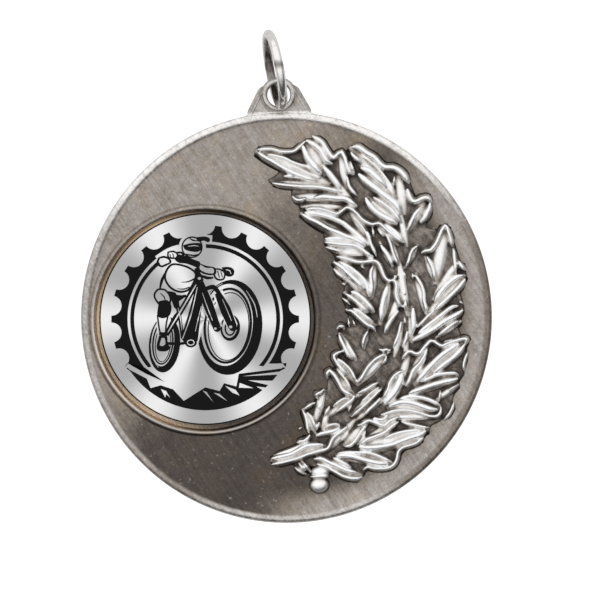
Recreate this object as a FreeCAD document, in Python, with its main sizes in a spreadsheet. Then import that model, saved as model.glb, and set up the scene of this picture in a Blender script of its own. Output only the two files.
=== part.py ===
"""A 50 mm cast finisher medal: a disc with an eccentric round insert, an oak spray cast in relief,
a lug with an eye at the top and a jump ring threaded through it.

Millimetres. The medal lies on its back: the origin is the disc's centre on the flat back face,
+Z leaves the front face and +Y runs from the disc's centre to the lug.
"""
import FreeCAD
import Part
import Sketcher
import math
import os
from FreeCAD import Placement, Rotation, Vector

# ---------------------------------------------------------------- driving dimensions
DIMENSIONS = [
    ("disc_radius", 25.0, "outside of the disc"),
    ("rim_height", 3.0, "top of the rim over the back face"),
    ("rim_round", 0.6, "rounding outside the rim"),
    ("rim_width", 0.85, "flat crest of the rim and its outer rounding"),
    ("rim_slope", 0.35, "width of the slope inside the rim"),
    ("field_edge_height", 2.82, "field where it meets the rim's slope"),
    ("field_centre_height", 3.0, "field at the disc's centre"),
    ("back_round", 0.3, "rounding of the back edge"),
    ("groove_inner_radius", 21.5, "border groove in the back face"),
    ("groove_outer_radius", 22.1, "border groove in the back face"),
    ("groove_depth", 0.25, "border groove in the back face"),
    ("insert_offset", 9.9, "insert's centre, to the left of the disc's centre"),
    ("insert_rise", 0.15, "insert stuck a little above the recess's centre"),
    ("recess_radius", 13.3, "wall of the insert's recess"),
    ("recess_floor", 1.92, "floor of the insert's recess"),
    ("recess_top", 3.8, "top of the cutter for the recess"),
    ("lip_width", 0.95, "raised lip round the recess"),
    ("lip_overlap", 0.45, "metal under the lip that the recess cuts away"),
    ("lip_root", 2.3, "bottom of the lip, inside the disc"),
    ("lip_inner_height", 3.06, "lip at the recess wall"),
    ("lip_outer_height", 2.8, "lip where it meets the field"),
    ("lip_round", 0.8, "rounded crest of the lip"),
    ("eye_distance", 27.1, "centre of the eye from the disc's centre"),
    ("eye_radius", 1.4, "narrowest part of the eye"),
    ("eye_round", 0.45, "rounded edges of the eye"),
    ("arch_radius", 2.175, "outside of the lug over the eye"),
    ("lug_back_height", 1.5, "back of the lug over the back face"),
    ("lug_thickness", 1.3, "front to back of the lug"),
    ("lug_half_width", 3.9, "half the lug's width at its root"),
    ("lug_root", 24.3, "root of the lug, inside the rim"),
    ("lug_round", 0.3, "rounded outline of the lug"),
    ("spray_root", 2.2, "bottom of the spray, inside the disc"),
    ("spray_height", 3.75, "tops of the lowest lobes"),
    ("lobe_step", 0.11, "height that each lobe of a leaf gains on the last"),
    ("lobe_spread", 1.35, "foot of a lobe as a share of its width at the crest's foot"),
    ("lobe_draft", 0.55, "top outline of a lobe as a share of its foot"),
    ("acorn_x", 3.25, "acorn's centre"),
    ("acorn_y", -20.35, "acorn's centre"),
    ("acorn_radius", 1.15, "half the nut's width"),
    ("acorn_half_length", 1.35, "half the nut's length"),
    ("acorn_half_height", 1.0, "nut's crest over its centre"),
    ("acorn_base_height", 2.75, "height of the nut's centre"),
    ("cap_radius", 1.35, "half the acorn cup's width"),
    ("cap_half_length", 0.85, "half the acorn cup's length"),
    ("cap_half_height", 1.2, "cup's crest over its centre"),
    ("cap_shift", 1.15, "cup's centre from the nut's centre"),
    ("adhesive_radius", 12.3, "adhesive pad"),
    ("adhesive_thickness", 0.3, "adhesive pad"),
    ("insert_radius", 12.9, "aluminium insert"),
    ("insert_thickness", 0.6, "aluminium insert"),
    ("insert_round", 0.08, "broken upper edge of the insert"),
    ("artwork_turn", -2.0, "artwork's turn from the medal's own axis, in degrees"),
    ("ink_thickness", 0.04, "printed ink"),
    ("border_outer_radius", 12.88, "printed line at the insert's edge"),
    ("border_inner_radius", 12.74, "printed line at the insert's edge"),
    ("tooth_tip_radius", 11.6, "printed chainring's teeth"),
    ("chainring_inner_radius", 9.42, "printed chainring's inside"),
    ("scallop_radius", 1.3, "hollow between two printed teeth"),
    ("tooth_count", 22, "printed chainring's teeth"),
    ("circle_outer_radius", 9.0, "printed circle inside the chainring"),
    ("circle_inner_radius", 8.5, "printed circle inside the chainring"),
    ("chainring_cut", 5.2, "level under the centre where the printed rings stop"),
    ("ground_radius", 11.1, "lower edge of the printed hills"),
    ("ring_radius", 4.4, "jump ring's centre line"),
    ("wire_radius", 0.55, "jump ring's wire"),
    ("ring_sweep", 356.0, "jump ring's wire in degrees, the rest being its butt gap"),
    ("ring_x", -0.36, "jump ring's centre"),
    ("ring_y", 30.1, "jump ring's centre"),
    ("ring_z", 4.96, "jump ring's centre"),
    ("ring_lean", 8.7, "jump ring's lean to the left, in degrees"),
    ("ring_tilt", 7.6, "jump ring's tilt to the right, in degrees"),
    ("ring_gap_turn", 52.0, "butt gap's place round the ring, in degrees"),
]

# Each lobe of the oak leaves runs from its tip to its base on the leaf's rib:
# (tip x, tip y, base x, base y, widest)
LEAVES = {
    "top_leaf": [
        (-3.1, 20.4, 5.9, 15.9, 2.1), (2.95, 21.5, 5.4, 17.0, 1.7), (7.15, 19.7, 7.9, 15.3, 1.2),
        (-1.2, 16.4, 5.6, 15.8, 1.1), (1.1, 14.6, 7.5, 14.3, 1.3), (2.2, 13.4, 7.3, 13.2, 0.9),
        (5.4, 17.7, 9.0, 13.0, 1.1),
    ],
    "upper_inner_leaf": [
        (2.1, 12.7, 10.3, 7.8, 1.7), (8.0, 13.1, 10.6, 9.0, 1.5), (4.9, 9.2, 10.5, 7.2, 1.3),
        (5.9, 7.8, 10.1, 7.3, 0.8), (11.2, 11.1, 14.0, 8.2, 0.8),
    ],
    "upper_right_leaf": [
        (8.4, 20.5, 13.9, 13.5, 2.0), (9.3, 17.2, 13.1, 14.9, 1.4), (10.2, 14.3, 14.7, 10.9, 1.6),
        (14.2, 17.1, 14.8, 11.9, 1.6), (17.4, 13.8, 15.0, 9.8, 1.9), (12.0, 11.0, 14.6, 8.4, 0.9),
        (14.0, 13.2, 15.0, 8.0, 1.0),
    ],
    "outer_right_leaf": [
        (19.7, 10.6, 18.2, 3.3, 2.2), (17.1, 7.0, 18.2, 3.6, 1.0), (16.3, 8.4, 14.6, 5.4, 1.2),
        (15.9, 5.0, 17.0, -0.4, 1.1), (21.2, 6.3, 17.8, 1.4, 1.2),
    ],
    "middle_leaf": [
        (5.9, 6.7, 10.0, 2.0, 1.7), (10.9, 6.3, 10.4, 1.8, 1.3), (7.0, 2.9, 10.7, 0.1, 1.3),
        (12.7, 4.2, 11.3, -1.4, 1.5), (7.2, 0.8, 11.0, -1.4, 1.0), (14.2, 3.0, 11.9, -2.5, 1.1),
        (11.6, 8.9, 13.2, 5.5, 0.9), (12.8, 9.4, 14.0, 5.6, 0.8), (13.9, 6.6, 14.7, -0.4, 1.2),
    ],
    "right_leaf": [
        (21.9, 4.5, 16.2, -1.6, 1.7), (21.5, 0.3, 15.0, -3.6, 1.4), (21.3, -1.1, 18.0, -3.1, 0.8),
        (15.3, 0.9, 15.0, -3.6, 0.9), (14.0, -1.0, 12.9, -5.4, 1.2), (14.6, -2.2, 14.2, -5.6, 0.8),
    ],
    "lower_right_leaf": [
        (21.8, -3.4, 15.1, -8.8, 1.9), (17.2, -3.6, 14.3, -9.0, 1.5), (20.8, -7.9, 14.4, -9.8, 1.5),
        (14.8, -4.8, 13.0, -9.6, 1.4), (14.1, -6.8, 11.4, -11.2, 1.7), (20.7, -8.8, 17.6, -10.8, 1.0),
    ],
    "lower_inner_leaf": [
        (6.3, -2.0, 8.4, -5.7, 1.2), (9.9, -1.8, 9.2, -4.3, 0.7), (5.5, -4.8, 8.2, -8.4, 1.2),
        (4.8, -6.6, 8.0, -9.8, 1.4), (12.3, -4.5, 8.2, -8.6, 1.6), (4.3, -12.3, 8.1, -9.8, 1.2),
        (10.9, -8.3, 7.6, -10.2, 0.8), (11.4, -8.9, 7.3, -12.3, 1.2), (11.9, -9.8, 8.0, -12.8, 1.0),
    ],
    "lower_left_leaf": [
        (1.5, -11.1, 3.1, -14.3, 1.2), (4.3, -8.8, 3.0, -13.0, 1.5), (4.9, -10.9, 3.7, -14.3, 0.9),
        (3.0, -14.5, 6.4, -13.5, 1.1),
    ],
    "bottom_leaf": [
        (18.4, -11.8, 11.8, -11.4, 1.9), (17.9, -12.7, 10.6, -12.5, 0.9), (16.9, -14.1, 8.2, -16.2, 1.8),
        (13.2, -12.9, 8.2, -15.8, 1.2), (9.5, -13.0, 6.3, -15.9, 1.4), (16.2, -15.2, 9.4, -16.6, 1.2),
    ],
    "bottom_left_leaf": [
        (12.4, -18.2, 5.3, -16.9, 1.7), (8.6, -19.6, 2.8, -17.3, 1.7), (12.6, -18.6, 8.8, -17.6, 1.0),
    ],
    "stem": [
        (-2.6, -17.4, 4.6, -15.7, 1.5), (4.4, -16.4, 8.0, -12.6, 1.3), (0.7, -15.2, 2.6, -14.6, 0.6),
        (0.4, -18.1, 1.8, -19.2, 0.7), (1.0, -17.2, 2.4, -19.0, 0.6),
    ],
}

# Share of the widest half-width at stations along a lobe, from its tip to its base
LOBE_STATIONS = [(0.22, 0.66), (0.5, 1.0), (0.8, 0.86), (1.0, 0.45)]

# Jagged skyline of the printed hills, left to right, about the insert's centre
SKYLINE = [
    (-9.3, -6.1), (-7.3, -7.1), (-6.6, -8.3), (-5.1, -7.5), (-3.6, -8.3), (-2.6, -9.6),
    (-0.1, -8.1), (1.5, -8.5), (2.4, -7.3), (3.7, -7.9), (4.2, -6.4), (9.3, -6.0),
]

# Printed wheels seen at an angle: (centre x, centre y, half width, half height, line, lean in degrees)
WHEELS = [(3.0, -0.9, 3.7, 5.5, 0.85, -5.0), (-4.9, -2.7, 1.7, 3.2, 0.6, -4.0)]

# Printed bicycle frame and rider, as straight bars: (x, y, x, y, width)
FIGURE_BARS = [
    (-0.9, 5.4, 1.5, -0.6, 0.8), (0.6, 4.6, 3.0, -0.4, 0.75), (-1.6, 4.6, 1.2, 4.4, 0.6),
    (-0.8, 3.9, -2.3, -3.2, 1.1), (-0.9, 3.6, -3.9, 0.3, 0.5), (-3.9, 0.3, -2.3, -3.2, 0.6),
    (-5.0, -2.5, -2.1, -3.4, 0.45), (-1.4, 6.9, 1.3, 5.6, 0.9), (1.3, 5.6, 2.6, 5.5, 0.8),
    (-2.4, 7.2, -5.9, 6.6, 0.9), (-5.9, 6.6, -4.4, 7.7, 0.8), (-5.6, 2.6, -5.0, 0.2, 1.4),
    (-5.0, 0.2, -5.3, -2.9, 0.9), (-5.9, -3.3, -4.3, -3.3, 0.55),
]
TORSO = [(-3.4, 6.9), (-1.2, 6.6), (-1.1, 5.2), (-2.4, 3.4), (-5.2, 3.2), (-5.4, 5.0)]
HELMET = (-1.8, 8.4, 1.45)

SIZES = {name: value for name, value, note in DIMENSIONS}

doc = FreeCAD.newDocument("finisher_medal")


def fill_sheet():
    """Put every driving dimension in the sheet, under its own alias."""
    sheet = doc.addObject("Spreadsheet::Sheet", "sizes")
    for row, (name, value, note) in enumerate(DIMENSIONS, start=1):
        sheet.set("A%d" % row, name)
        sheet.set("B%d" % row, str(value))
        sheet.setAlias("B%d" % row, name)
        sheet.set("C%d" % row, note)
    doc.recompute()


def amount(terms):
    """Sum of sheet values; a leading minus takes one away."""
    total = 0.0
    for term in terms:
        total += -SIZES[term[1:]] if term.startswith("-") else SIZES[term]
    return total


def formula(terms):
    """The same sum as an expression on the sheet."""
    text = ""
    for term in terms:
        text += " - sizes." + term[1:] if term.startswith("-") else " + sizes." + term
    return text.strip(" +")


def bind(item, **sizes):
    """Bind properties of an object to sheet values."""
    for prop, name in sizes.items():
        item.setExpression(prop, formula([name]))


def new_body(name):
    body = doc.addObject("PartDesign::Body", name)
    body.Label = name
    return body


def new_sketch(body, name, plane):
    """Sketch on one of the body's own origin planes."""
    sketch = body.newObject("Sketcher::SketchObject", name)
    for feature in body.Origin.OriginFeatures:
        if feature.Role == plane:
            sketch.AttachmentSupport = [(feature, "")]
    sketch.MapMode = "FlatFace"
    return sketch


def bound_constraint(sketch, terms, *constraint):
    """Add one dimension to a sketch and bind it to the sheet."""
    index = sketch.addConstraint(Sketcher.Constraint(*constraint, amount(terms)))
    sketch.setExpression("Constraints[%d]" % index, formula(terms))


def pin_point(sketch, edge, x_terms, y_terms):
    """Fix the start of an edge; no terms means on that axis."""
    if x_terms:
        bound_constraint(sketch, x_terms, "DistanceX", -1, 1, edge, 1)
    else:
        sketch.addConstraint(Sketcher.Constraint("PointOnObject", edge, 1, -2))
    if y_terms:
        bound_constraint(sketch, y_terms, "DistanceY", -1, 1, edge, 1)
    else:
        sketch.addConstraint(Sketcher.Constraint("PointOnObject", edge, 1, -1))


def bulging_arc(start, end, radius):
    """Arc that turns left from start to end."""
    chord = end - start
    rise = math.sqrt(radius ** 2 - (chord.Length / 2) ** 2)
    centre = (start + end) / 2 + Vector(-chord.y, chord.x, 0) / chord.Length * rise
    first = math.atan2(start.y - centre.y, start.x - centre.x)
    last = math.atan2(end.y - centre.y, end.x - centre.x)
    return Part.ArcOfCircle(Part.Circle(centre, Vector(0, 0, 1), radius), first, last)


def profile(body, name, corners, rounds=None, dome=None):
    """Closed half section on the XZ plane, corners anticlockwise; rounds and dome bend an edge."""
    rounds = rounds or {}
    sketch = new_sketch(body, name, "XZ_Plane")
    points = [Vector(amount(x_terms), amount(y_terms), 0) for x_terms, y_terms in corners]
    count = len(points)
    for edge in range(count):
        start = points[edge]
        end = points[(edge + 1) % count]
        if edge in rounds:
            sketch.addGeometry(bulging_arc(start, end, SIZES[rounds[edge]]))
        elif edge == dome:
            sphere = (start.x ** 2 + (end.y - start.y) ** 2) / (2 * (end.y - start.y))
            sketch.addGeometry(bulging_arc(start, end, sphere))
        else:
            sketch.addGeometry(Part.LineSegment(start, end))
    for edge, (x_terms, y_terms) in enumerate(corners):
        sketch.addConstraint(Sketcher.Constraint("Coincident", edge, 2, (edge + 1) % count, 1))
        pin_point(sketch, edge, x_terms, y_terms)
        if edge in rounds:
            bound_constraint(sketch, [rounds[edge]], "Radius", edge)
        elif edge == dome:
            sketch.addConstraint(Sketcher.Constraint("PointOnObject", edge, 3, -2))
    return sketch


def turned(body, kind, name, sketch):
    """Turn a half section about the sketch's own upright axis."""
    feature = body.newObject(kind, name)
    feature.Profile = (sketch, [""])
    feature.ReferenceAxis = (sketch, ["V_Axis"])
    feature.Angle = 360.0
    sketch.Visibility = False
    return feature


def edges_where(feature, test):
    """Names of a feature's edges that pass a test."""
    doc.recompute()
    found = []
    for index, edge in enumerate(feature.Shape.Edges, start=1):
        if test(edge):
            found.append("Edge%d" % index)
    return found


def fillet(body, name, base, edges, radius):
    feature = body.newObject("PartDesign::Fillet", name)
    feature.Base = (base, edges)
    bind(feature, Radius=radius)
    return feature


# ---------------------------------------------------------------- the casting
def lug(body):
    """Tapering lug with its eye; the disc is turned over its root."""
    sketch = new_sketch(body, "lug_outline", "XY_Plane")
    sketch.setExpression("AttachmentOffset.Base.z", "sizes.lug_back_height")
    eye = Vector(0, SIZES["eye_distance"], 0)
    arch_radius = SIZES["arch_radius"]
    corner = Vector(SIZES["lug_half_width"], SIZES["lug_root"], 0)
    reach = corner - eye
    turn = math.atan2(reach.y, reach.x) + math.acos(arch_radius / reach.Length)
    touch = eye + Vector(math.cos(turn), math.sin(turn), 0) * arch_radius
    left_touch = Vector(-touch.x, touch.y, 0)
    left_corner = Vector(-corner.x, corner.y, 0)
    arch = Part.Circle(eye, Vector(0, 0, 1), arch_radius)
    sketch.addGeometry(Part.ArcOfCircle(arch, turn, math.pi - turn))
    sketch.addGeometry(Part.LineSegment(left_touch, left_corner))
    sketch.addGeometry(Part.LineSegment(left_corner, corner))
    sketch.addGeometry(Part.LineSegment(corner, touch))
    sketch.addGeometry(Part.Circle(eye, Vector(0, 0, 1), SIZES["eye_radius"]))
    sketch.addConstraint(Sketcher.Constraint("Tangent", 0, 2, 1, 1))
    sketch.addConstraint(Sketcher.Constraint("Coincident", 1, 2, 2, 1))
    sketch.addConstraint(Sketcher.Constraint("Coincident", 2, 2, 3, 1))
    sketch.addConstraint(Sketcher.Constraint("Tangent", 3, 2, 0, 1))
    sketch.addConstraint(Sketcher.Constraint("PointOnObject", 0, 3, -2))
    sketch.addConstraint(Sketcher.Constraint("Coincident", 4, 3, 0, 3))
    bound_constraint(sketch, ["eye_distance"], "DistanceY", -1, 1, 0, 3)
    bound_constraint(sketch, ["arch_radius"], "Radius", 0)
    bound_constraint(sketch, ["eye_radius"], "Radius", 4)
    bound_constraint(sketch, ["lug_half_width"], "DistanceX", -1, 1, 3, 1)
    bound_constraint(sketch, ["lug_root"], "DistanceY", -1, 1, 3, 1)
    bound_constraint(sketch, ["-lug_half_width"], "DistanceX", -1, 1, 2, 1)
    bound_constraint(sketch, ["lug_root"], "DistanceY", -1, 1, 2, 1)
    pad = body.newObject("PartDesign::Pad", "lug_pad")
    pad.Profile = (sketch, [""])
    bind(pad, Length="lug_thickness")

    def on_eye(edge):
        return edge.BoundBox.XMax < SIZES["eye_radius"] + 0.01 and edge.BoundBox.ZLength < 0.01 \
            and edge.BoundBox.YMin > SIZES["lug_root"] + 0.5

    def on_outline(edge):
        flat = edge.BoundBox.ZLength < 0.01
        return flat and edge.BoundBox.YMax > SIZES["lug_root"] + 0.5 and not on_eye(edge)

    eye_edges = fillet(body, "eye_edges", pad, edges_where(pad, on_eye), "eye_round")
    fillet(body, "lug_edges", eye_edges, edges_where(eye_edges, rounded_outline(on_outline)), "lug_round")


def rounded_outline(test):
    """Only the edges that lie in the lug's front or back face, and not the rounded eye's."""
    levels = (SIZES["lug_back_height"], SIZES["lug_back_height"] + SIZES["lug_thickness"])
    eye_reach = SIZES["eye_radius"] + SIZES["eye_round"] + 0.01

    def keep(edge):
        in_face = min(abs(edge.BoundBox.ZMin - level) for level in levels) < 0.01
        round_eye = abs(edge.BoundBox.XMax) < eye_reach and abs(edge.BoundBox.XMin) < eye_reach
        return test(edge) and in_face and not round_eye
    return keep


def disc(body):
    """Disc with a rounded rim, a gently domed field and a border groove in the back."""
    rim_inside = ["disc_radius", "-rim_width"]
    corners = [
        ([], []),
        (["groove_inner_radius"], []),
        (["groove_inner_radius"], ["groove_depth"]),
        (["groove_outer_radius"], ["groove_depth"]),
        (["groove_outer_radius"], []),
        (["disc_radius", "-back_round"], []),
        (["disc_radius"], ["back_round"]),
        (["disc_radius"], ["rim_height", "-rim_round"]),
        (["disc_radius", "-rim_round"], ["rim_height"]),
        (rim_inside, ["rim_height"]),
        (rim_inside + ["-rim_slope"], ["field_edge_height"]),
        ([], ["field_centre_height"]),
    ]
    sketch = profile(body, "disc_section", corners, rounds={5: "back_round", 7: "rim_round"}, dome=10)
    turned(body, "PartDesign::Revolution", "disc_turned", sketch)


def recess(body):
    """Raised lip, then the round recess inside it, both about the insert's axis."""
    crown = profile(body, "lip_section", [
        (["recess_radius", "-lip_overlap"], ["lip_root"]),
        (["recess_radius", "lip_width"], ["lip_root"]),
        (["recess_radius", "lip_width"], ["lip_outer_height"]),
        (["recess_radius"], ["lip_inner_height"]),
        (["recess_radius", "-lip_overlap"], ["lip_inner_height"]),
    ], rounds={2: "lip_round"})
    crown.setExpression("AttachmentOffset.Base.x", "-sizes.insert_offset")
    turned(body, "PartDesign::Revolution", "lip_turned", crown)
    pocket = profile(body, "recess_section", [
        ([], ["recess_floor"]),
        (["recess_radius"], ["recess_floor"]),
        (["recess_radius"], ["recess_top"]),
        ([], ["recess_top"]),
    ])
    pocket.setExpression("AttachmentOffset.Base.x", "-sizes.insert_offset")
    turned(body, "PartDesign::Groove", "recess_turned", pocket)


def drafted_block(outline, floor, top, share):
    """Closed block on an outline, its sides leaning in evenly to a smaller copy on top."""
    middle = sum(outline, Vector()) / len(outline)
    low = [Vector(point.x, point.y, floor) for point in outline]
    high = [Vector(middle.x + (point.x - middle.x) * share, middle.y + (point.y - middle.y) * share, top)
            for point in outline]
    faces = [Part.Face(Part.makePolygon(low + low[:1])), Part.Face(Part.makePolygon(high + high[:1]))]
    for index in range(len(outline)):
        after = (index + 1) % len(outline)
        side = [low[index], low[after], high[after], high[index], low[index]]
        faces.append(Part.Face(Part.makePolygon(side)))
    solid = Part.makeSolid(Part.makeShell(faces))
    solid.fix(1e-6, 1e-6, 1e-6)
    return solid


def lobe(tip_x, tip_y, base_x, base_y, width, floor, top):
    """One lobe of a leaf: pointed at its tip, widest in its middle."""
    tip = Vector(tip_x, tip_y, 0)
    along = Vector(base_x, base_y, 0) - tip
    across = Vector(-along.y, along.x, 0) / along.Length * width / 2 * SIZES["lobe_spread"]
    left = [tip + along * station + across * share for station, share in LOBE_STATIONS]
    right = [tip + along * station - across * share for station, share in LOBE_STATIONS]
    outline = [tip] + right + left[::-1]
    return drafted_block(outline, floor, top, SIZES["lobe_draft"])


def spray():
    """Every lobe of every leaf, each rooted inside the disc and a little higher than the last."""
    solids = []
    for number, lobes in enumerate(LEAVES.values()):
        for rank, sizes in enumerate(lobes):
            floor = SIZES["spray_root"] + 0.004 * len(solids)
            top = SIZES["spray_height"] + SIZES["lobe_step"] * (rank % 6) + 0.013 * number
            solids.append(lobe(*sizes, floor, top))
    feature = doc.addObject("Part::Feature", "spray_lobes")
    feature.Shape = solids[0].multiFuse(solids[1:])
    return feature


def acorn():
    """Nut and cup of the acorn, two rounded bodies half sunk in the field."""
    nut = doc.addObject("Part::Ellipsoid", "acorn_nut")
    bind(nut, Radius1="acorn_half_height", Radius2="acorn_radius", Radius3="acorn_half_length")
    nut.setExpression("Placement.Base.x", "sizes.acorn_x")
    nut.setExpression("Placement.Base.y", "sizes.acorn_y")
    nut.setExpression("Placement.Base.z", "sizes.acorn_base_height")
    cup = doc.addObject("Part::Ellipsoid", "acorn_cup")
    bind(cup, Radius1="cap_half_height", Radius2="cap_radius", Radius3="cap_half_length")
    cup.setExpression("Placement.Base.x", "sizes.acorn_x")
    cup.setExpression("Placement.Base.y", "sizes.acorn_y + sizes.cap_shift")
    cup.setExpression("Placement.Base.z", "sizes.acorn_base_height")
    return [nut, cup]


def casting():
    """The whole casting is one piece of metal."""
    body = new_body("casting_blank")
    lug(body)
    disc(body)
    recess(body)
    whole = doc.addObject("Part::MultiFuse", "medal_casting")
    whole.Shapes = [body, spray()] + acorn()
    whole.Label = "medal_casting"
    return whole


# ---------------------------------------------------------------- the insert
def round_plate(name, radius, thickness, level_terms):
    """Flat round plate about the insert's axis."""
    body = new_body(name)
    sketch = new_sketch(body, name + "_outline", "XY_Plane")
    sketch.addGeometry(Part.Circle(Vector(), Vector(0, 0, 1), SIZES[radius]))
    sketch.addConstraint(Sketcher.Constraint("Coincident", 0, 3, -1, 1))
    bound_constraint(sketch, [radius], "Radius", 0)
    pad = body.newObject("PartDesign::Pad", name + "_pad")
    pad.Profile = (sketch, [""])
    bind(pad, Length=thickness)
    body.setExpression("Placement.Base.x", "-sizes.insert_offset")
    body.setExpression("Placement.Base.y", "sizes.insert_rise")
    body.setExpression("Placement.Base.z", formula(level_terms))
    return body, pad


def insert_disc():
    """Thin aluminium disc with its upper edge broken."""
    levels = ["recess_floor", "adhesive_thickness"]
    body, pad = round_plate("insert_disc", "insert_radius", "insert_thickness", levels)

    def upper(edge):
        return edge.BoundBox.ZMin > SIZES["insert_thickness"] - 0.01
    fillet(body, "insert_edge", pad, edges_where(pad, upper), "insert_round")
    return body


def printed_ring(name, outer, inner):
    """Flat ring of ink about the insert's axis."""
    large = doc.addObject("Part::Cylinder", name + "_outside")
    bind(large, Radius=outer, Height="ink_thickness")
    small = doc.addObject("Part::Cylinder", name + "_inside")
    small.Height = 1.0
    small.Placement.Base = Vector(0, 0, -0.5)
    bind(small, Radius=inner)
    ring = doc.addObject("Part::Cut", name)
    ring.Base = large
    ring.Tool = small
    return ring


def chainring():
    """Printed chainring: a plain ring with its tooth hollows cut by a polar pattern."""
    body = new_body("printed_chainring")
    sketch = new_sketch(body, "chainring_outline", "XY_Plane")
    for index, name in enumerate(("tooth_tip_radius", "chainring_inner_radius")):
        sketch.addGeometry(Part.Circle(Vector(), Vector(0, 0, 1), SIZES[name]))
        sketch.addConstraint(Sketcher.Constraint("Coincident", index, 3, -1, 1))
        bound_constraint(sketch, [name], "Radius", index)
    pad = body.newObject("PartDesign::Pad", "chainring_pad")
    pad.Profile = (sketch, [""])
    bind(pad, Length="ink_thickness")
    hollow = new_sketch(body, "hollow_outline", "XY_Plane")
    centre = Vector(0, SIZES["tooth_tip_radius"], 0)
    hollow.addGeometry(Part.Circle(centre, Vector(0, 0, 1), SIZES["scallop_radius"]))
    hollow.addConstraint(Sketcher.Constraint("PointOnObject", 0, 3, -2))
    bound_constraint(hollow, ["tooth_tip_radius"], "DistanceY", -1, 1, 0, 3)
    bound_constraint(hollow, ["scallop_radius"], "Radius", 0)
    pocket = body.newObject("PartDesign::Pocket", "hollow_cut")
    pocket.Profile = (hollow, [""])
    pocket.Type = "ThroughAll"
    pocket.Reversed = True
    doc.recompute()
    pattern = body.newObject("PartDesign::PolarPattern", "hollows")
    pattern.Originals = [pocket]
    pattern.Axis = (hollow, ["N_Axis"])
    pattern.Angle = 360.0
    bind(pattern, Occurrences="tooth_count")
    body.Tip = pattern
    return body


def above_ground(name, shape):
    """The part of a printed ring that shows over the hills."""
    box = doc.addObject("Part::Box", name + "_sky")
    box.Length = 40.0
    box.Width = 30.0
    box.Height = 1.0
    box.Placement.Base = Vector(-20, 0, -0.5)
    box.setExpression("Placement.Base.y", "-sizes.chainring_cut")
    kept = doc.addObject("Part::Common", name)
    kept.Base = shape
    kept.Tool = box
    return kept


def flat_prism(points):
    """Ink over a closed outline."""
    corners = [Vector(x, y, 0) for x, y in points]
    face = Part.Face(Part.makePolygon(corners + corners[:1]))
    return face.extrude(Vector(0, 0, SIZES["ink_thickness"]))


def ink_bar(start_x, start_y, end_x, end_y, width):
    """Straight printed bar with square ends."""
    along = Vector(end_x - start_x, end_y - start_y, 0)
    side = Vector(-along.y, along.x, 0) / along.Length * width / 2
    start = Vector(start_x, start_y, 0)
    end = Vector(end_x, end_y, 0)
    corners = [start + side, start - side, end - side, end + side]
    return flat_prism([(corner.x, corner.y) for corner in corners])


def ink_oval(centre_x, centre_y, half_width, half_height, line, lean):
    """Oval printed line, a wheel seen at an angle."""
    faces = []
    for grow in (0.0, -line):
        long_axis = half_height + grow
        short_axis = half_width + grow
        oval = Part.Ellipse(Vector(), long_axis, short_axis)
        faces.append(Part.Face(Part.Wire([oval.toShape()])))
    band = faces[0].cut(faces[1])
    band.rotate(Vector(), Vector(0, 0, 1), 90 + lean)
    band.translate(Vector(centre_x, centre_y, 0))
    return band.extrude(Vector(0, 0, SIZES["ink_thickness"]))


def hills():
    """Printed hills between a jagged skyline and a round lower edge."""
    below = [(SKYLINE[-1][0], -14.0), (SKYLINE[0][0], -14.0)]
    ground = Part.makeCylinder(SIZES["ground_radius"], SIZES["ink_thickness"])
    return flat_prism(SKYLINE + below).common(ground)


def figure():
    """Printed rider on a bicycle, with no face, and the hills under the wheels."""
    shapes = [ink_oval(*wheel) for wheel in WHEELS]
    shapes += [ink_bar(*bar) for bar in FIGURE_BARS]
    shapes.append(flat_prism(TORSO))
    helmet_x, helmet_y, helmet_radius = HELMET
    shapes.append(Part.makeCylinder(helmet_radius, SIZES["ink_thickness"], Vector(helmet_x, helmet_y, 0)))
    feature = doc.addObject("Part::Feature", "printed_figure")
    feature.Shape = shapes[0].multiFuse(shapes[1:] + [hills()])
    return feature


def insert_artwork():
    """All the ink on the insert, one printed layer."""
    border = printed_ring("printed_border", "border_outer_radius", "border_inner_radius")
    circle = printed_ring("printed_circle", "circle_outer_radius", "circle_inner_radius")
    layer = doc.addObject("Part::MultiFuse", "insert_artwork")
    layer.Shapes = [
        border,
        above_ground("circle_shown", circle),
        above_ground("chainring_shown", chainring()),
        figure(),
    ]
    layer.Label = "insert_artwork"
    layer.Placement = Placement(Vector(), Rotation(Vector(0, 0, 1), SIZES["artwork_turn"]))
    layer.setExpression("Placement.Base.x", "-sizes.insert_offset")
    layer.setExpression("Placement.Base.y", "sizes.insert_rise")
    levels = ["recess_floor", "adhesive_thickness", "insert_thickness"]
    layer.setExpression("Placement.Base.z", formula(levels))
    return layer


# ---------------------------------------------------------------- the jump ring
def jump_ring():
    """Round wire bent to a ring with a butt gap, standing through the eye."""
    body = new_body("jump_ring")
    sketch = new_sketch(body, "wire_section", "XZ_Plane")
    centre = Vector(SIZES["ring_radius"], 0, 0)
    sketch.addGeometry(Part.Circle(centre, Vector(0, 0, 1), SIZES["wire_radius"]))
    sketch.addConstraint(Sketcher.Constraint("PointOnObject", 0, 3, -1))
    bound_constraint(sketch, ["ring_radius"], "DistanceX", -1, 1, 0, 3)
    bound_constraint(sketch, ["wire_radius"], "Radius", 0)
    wire = body.newObject("PartDesign::Revolution", "wire_bent")
    wire.Profile = (sketch, [""])
    wire.ReferenceAxis = (sketch, ["V_Axis"])
    bind(wire, Angle="ring_sweep")
    upright = Rotation(Vector(0, 1, 0), 90)
    gap_turn = Rotation(Vector(0, 0, 1), SIZES["ring_gap_turn"])
    tilt = Rotation(Vector(0, 1, 0), SIZES["ring_tilt"])
    lean = Rotation(Vector(0, 0, 1), SIZES["ring_lean"])
    place = Vector(SIZES["ring_x"], SIZES["ring_y"], SIZES["ring_z"])
    body.Placement = Placement(place, lean.multiply(tilt).multiply(upright).multiply(gap_turn))
    for axis in ("x", "y", "z"):
        body.setExpression("Placement.Base." + axis, "sizes.ring_" + axis)
    return body


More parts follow.
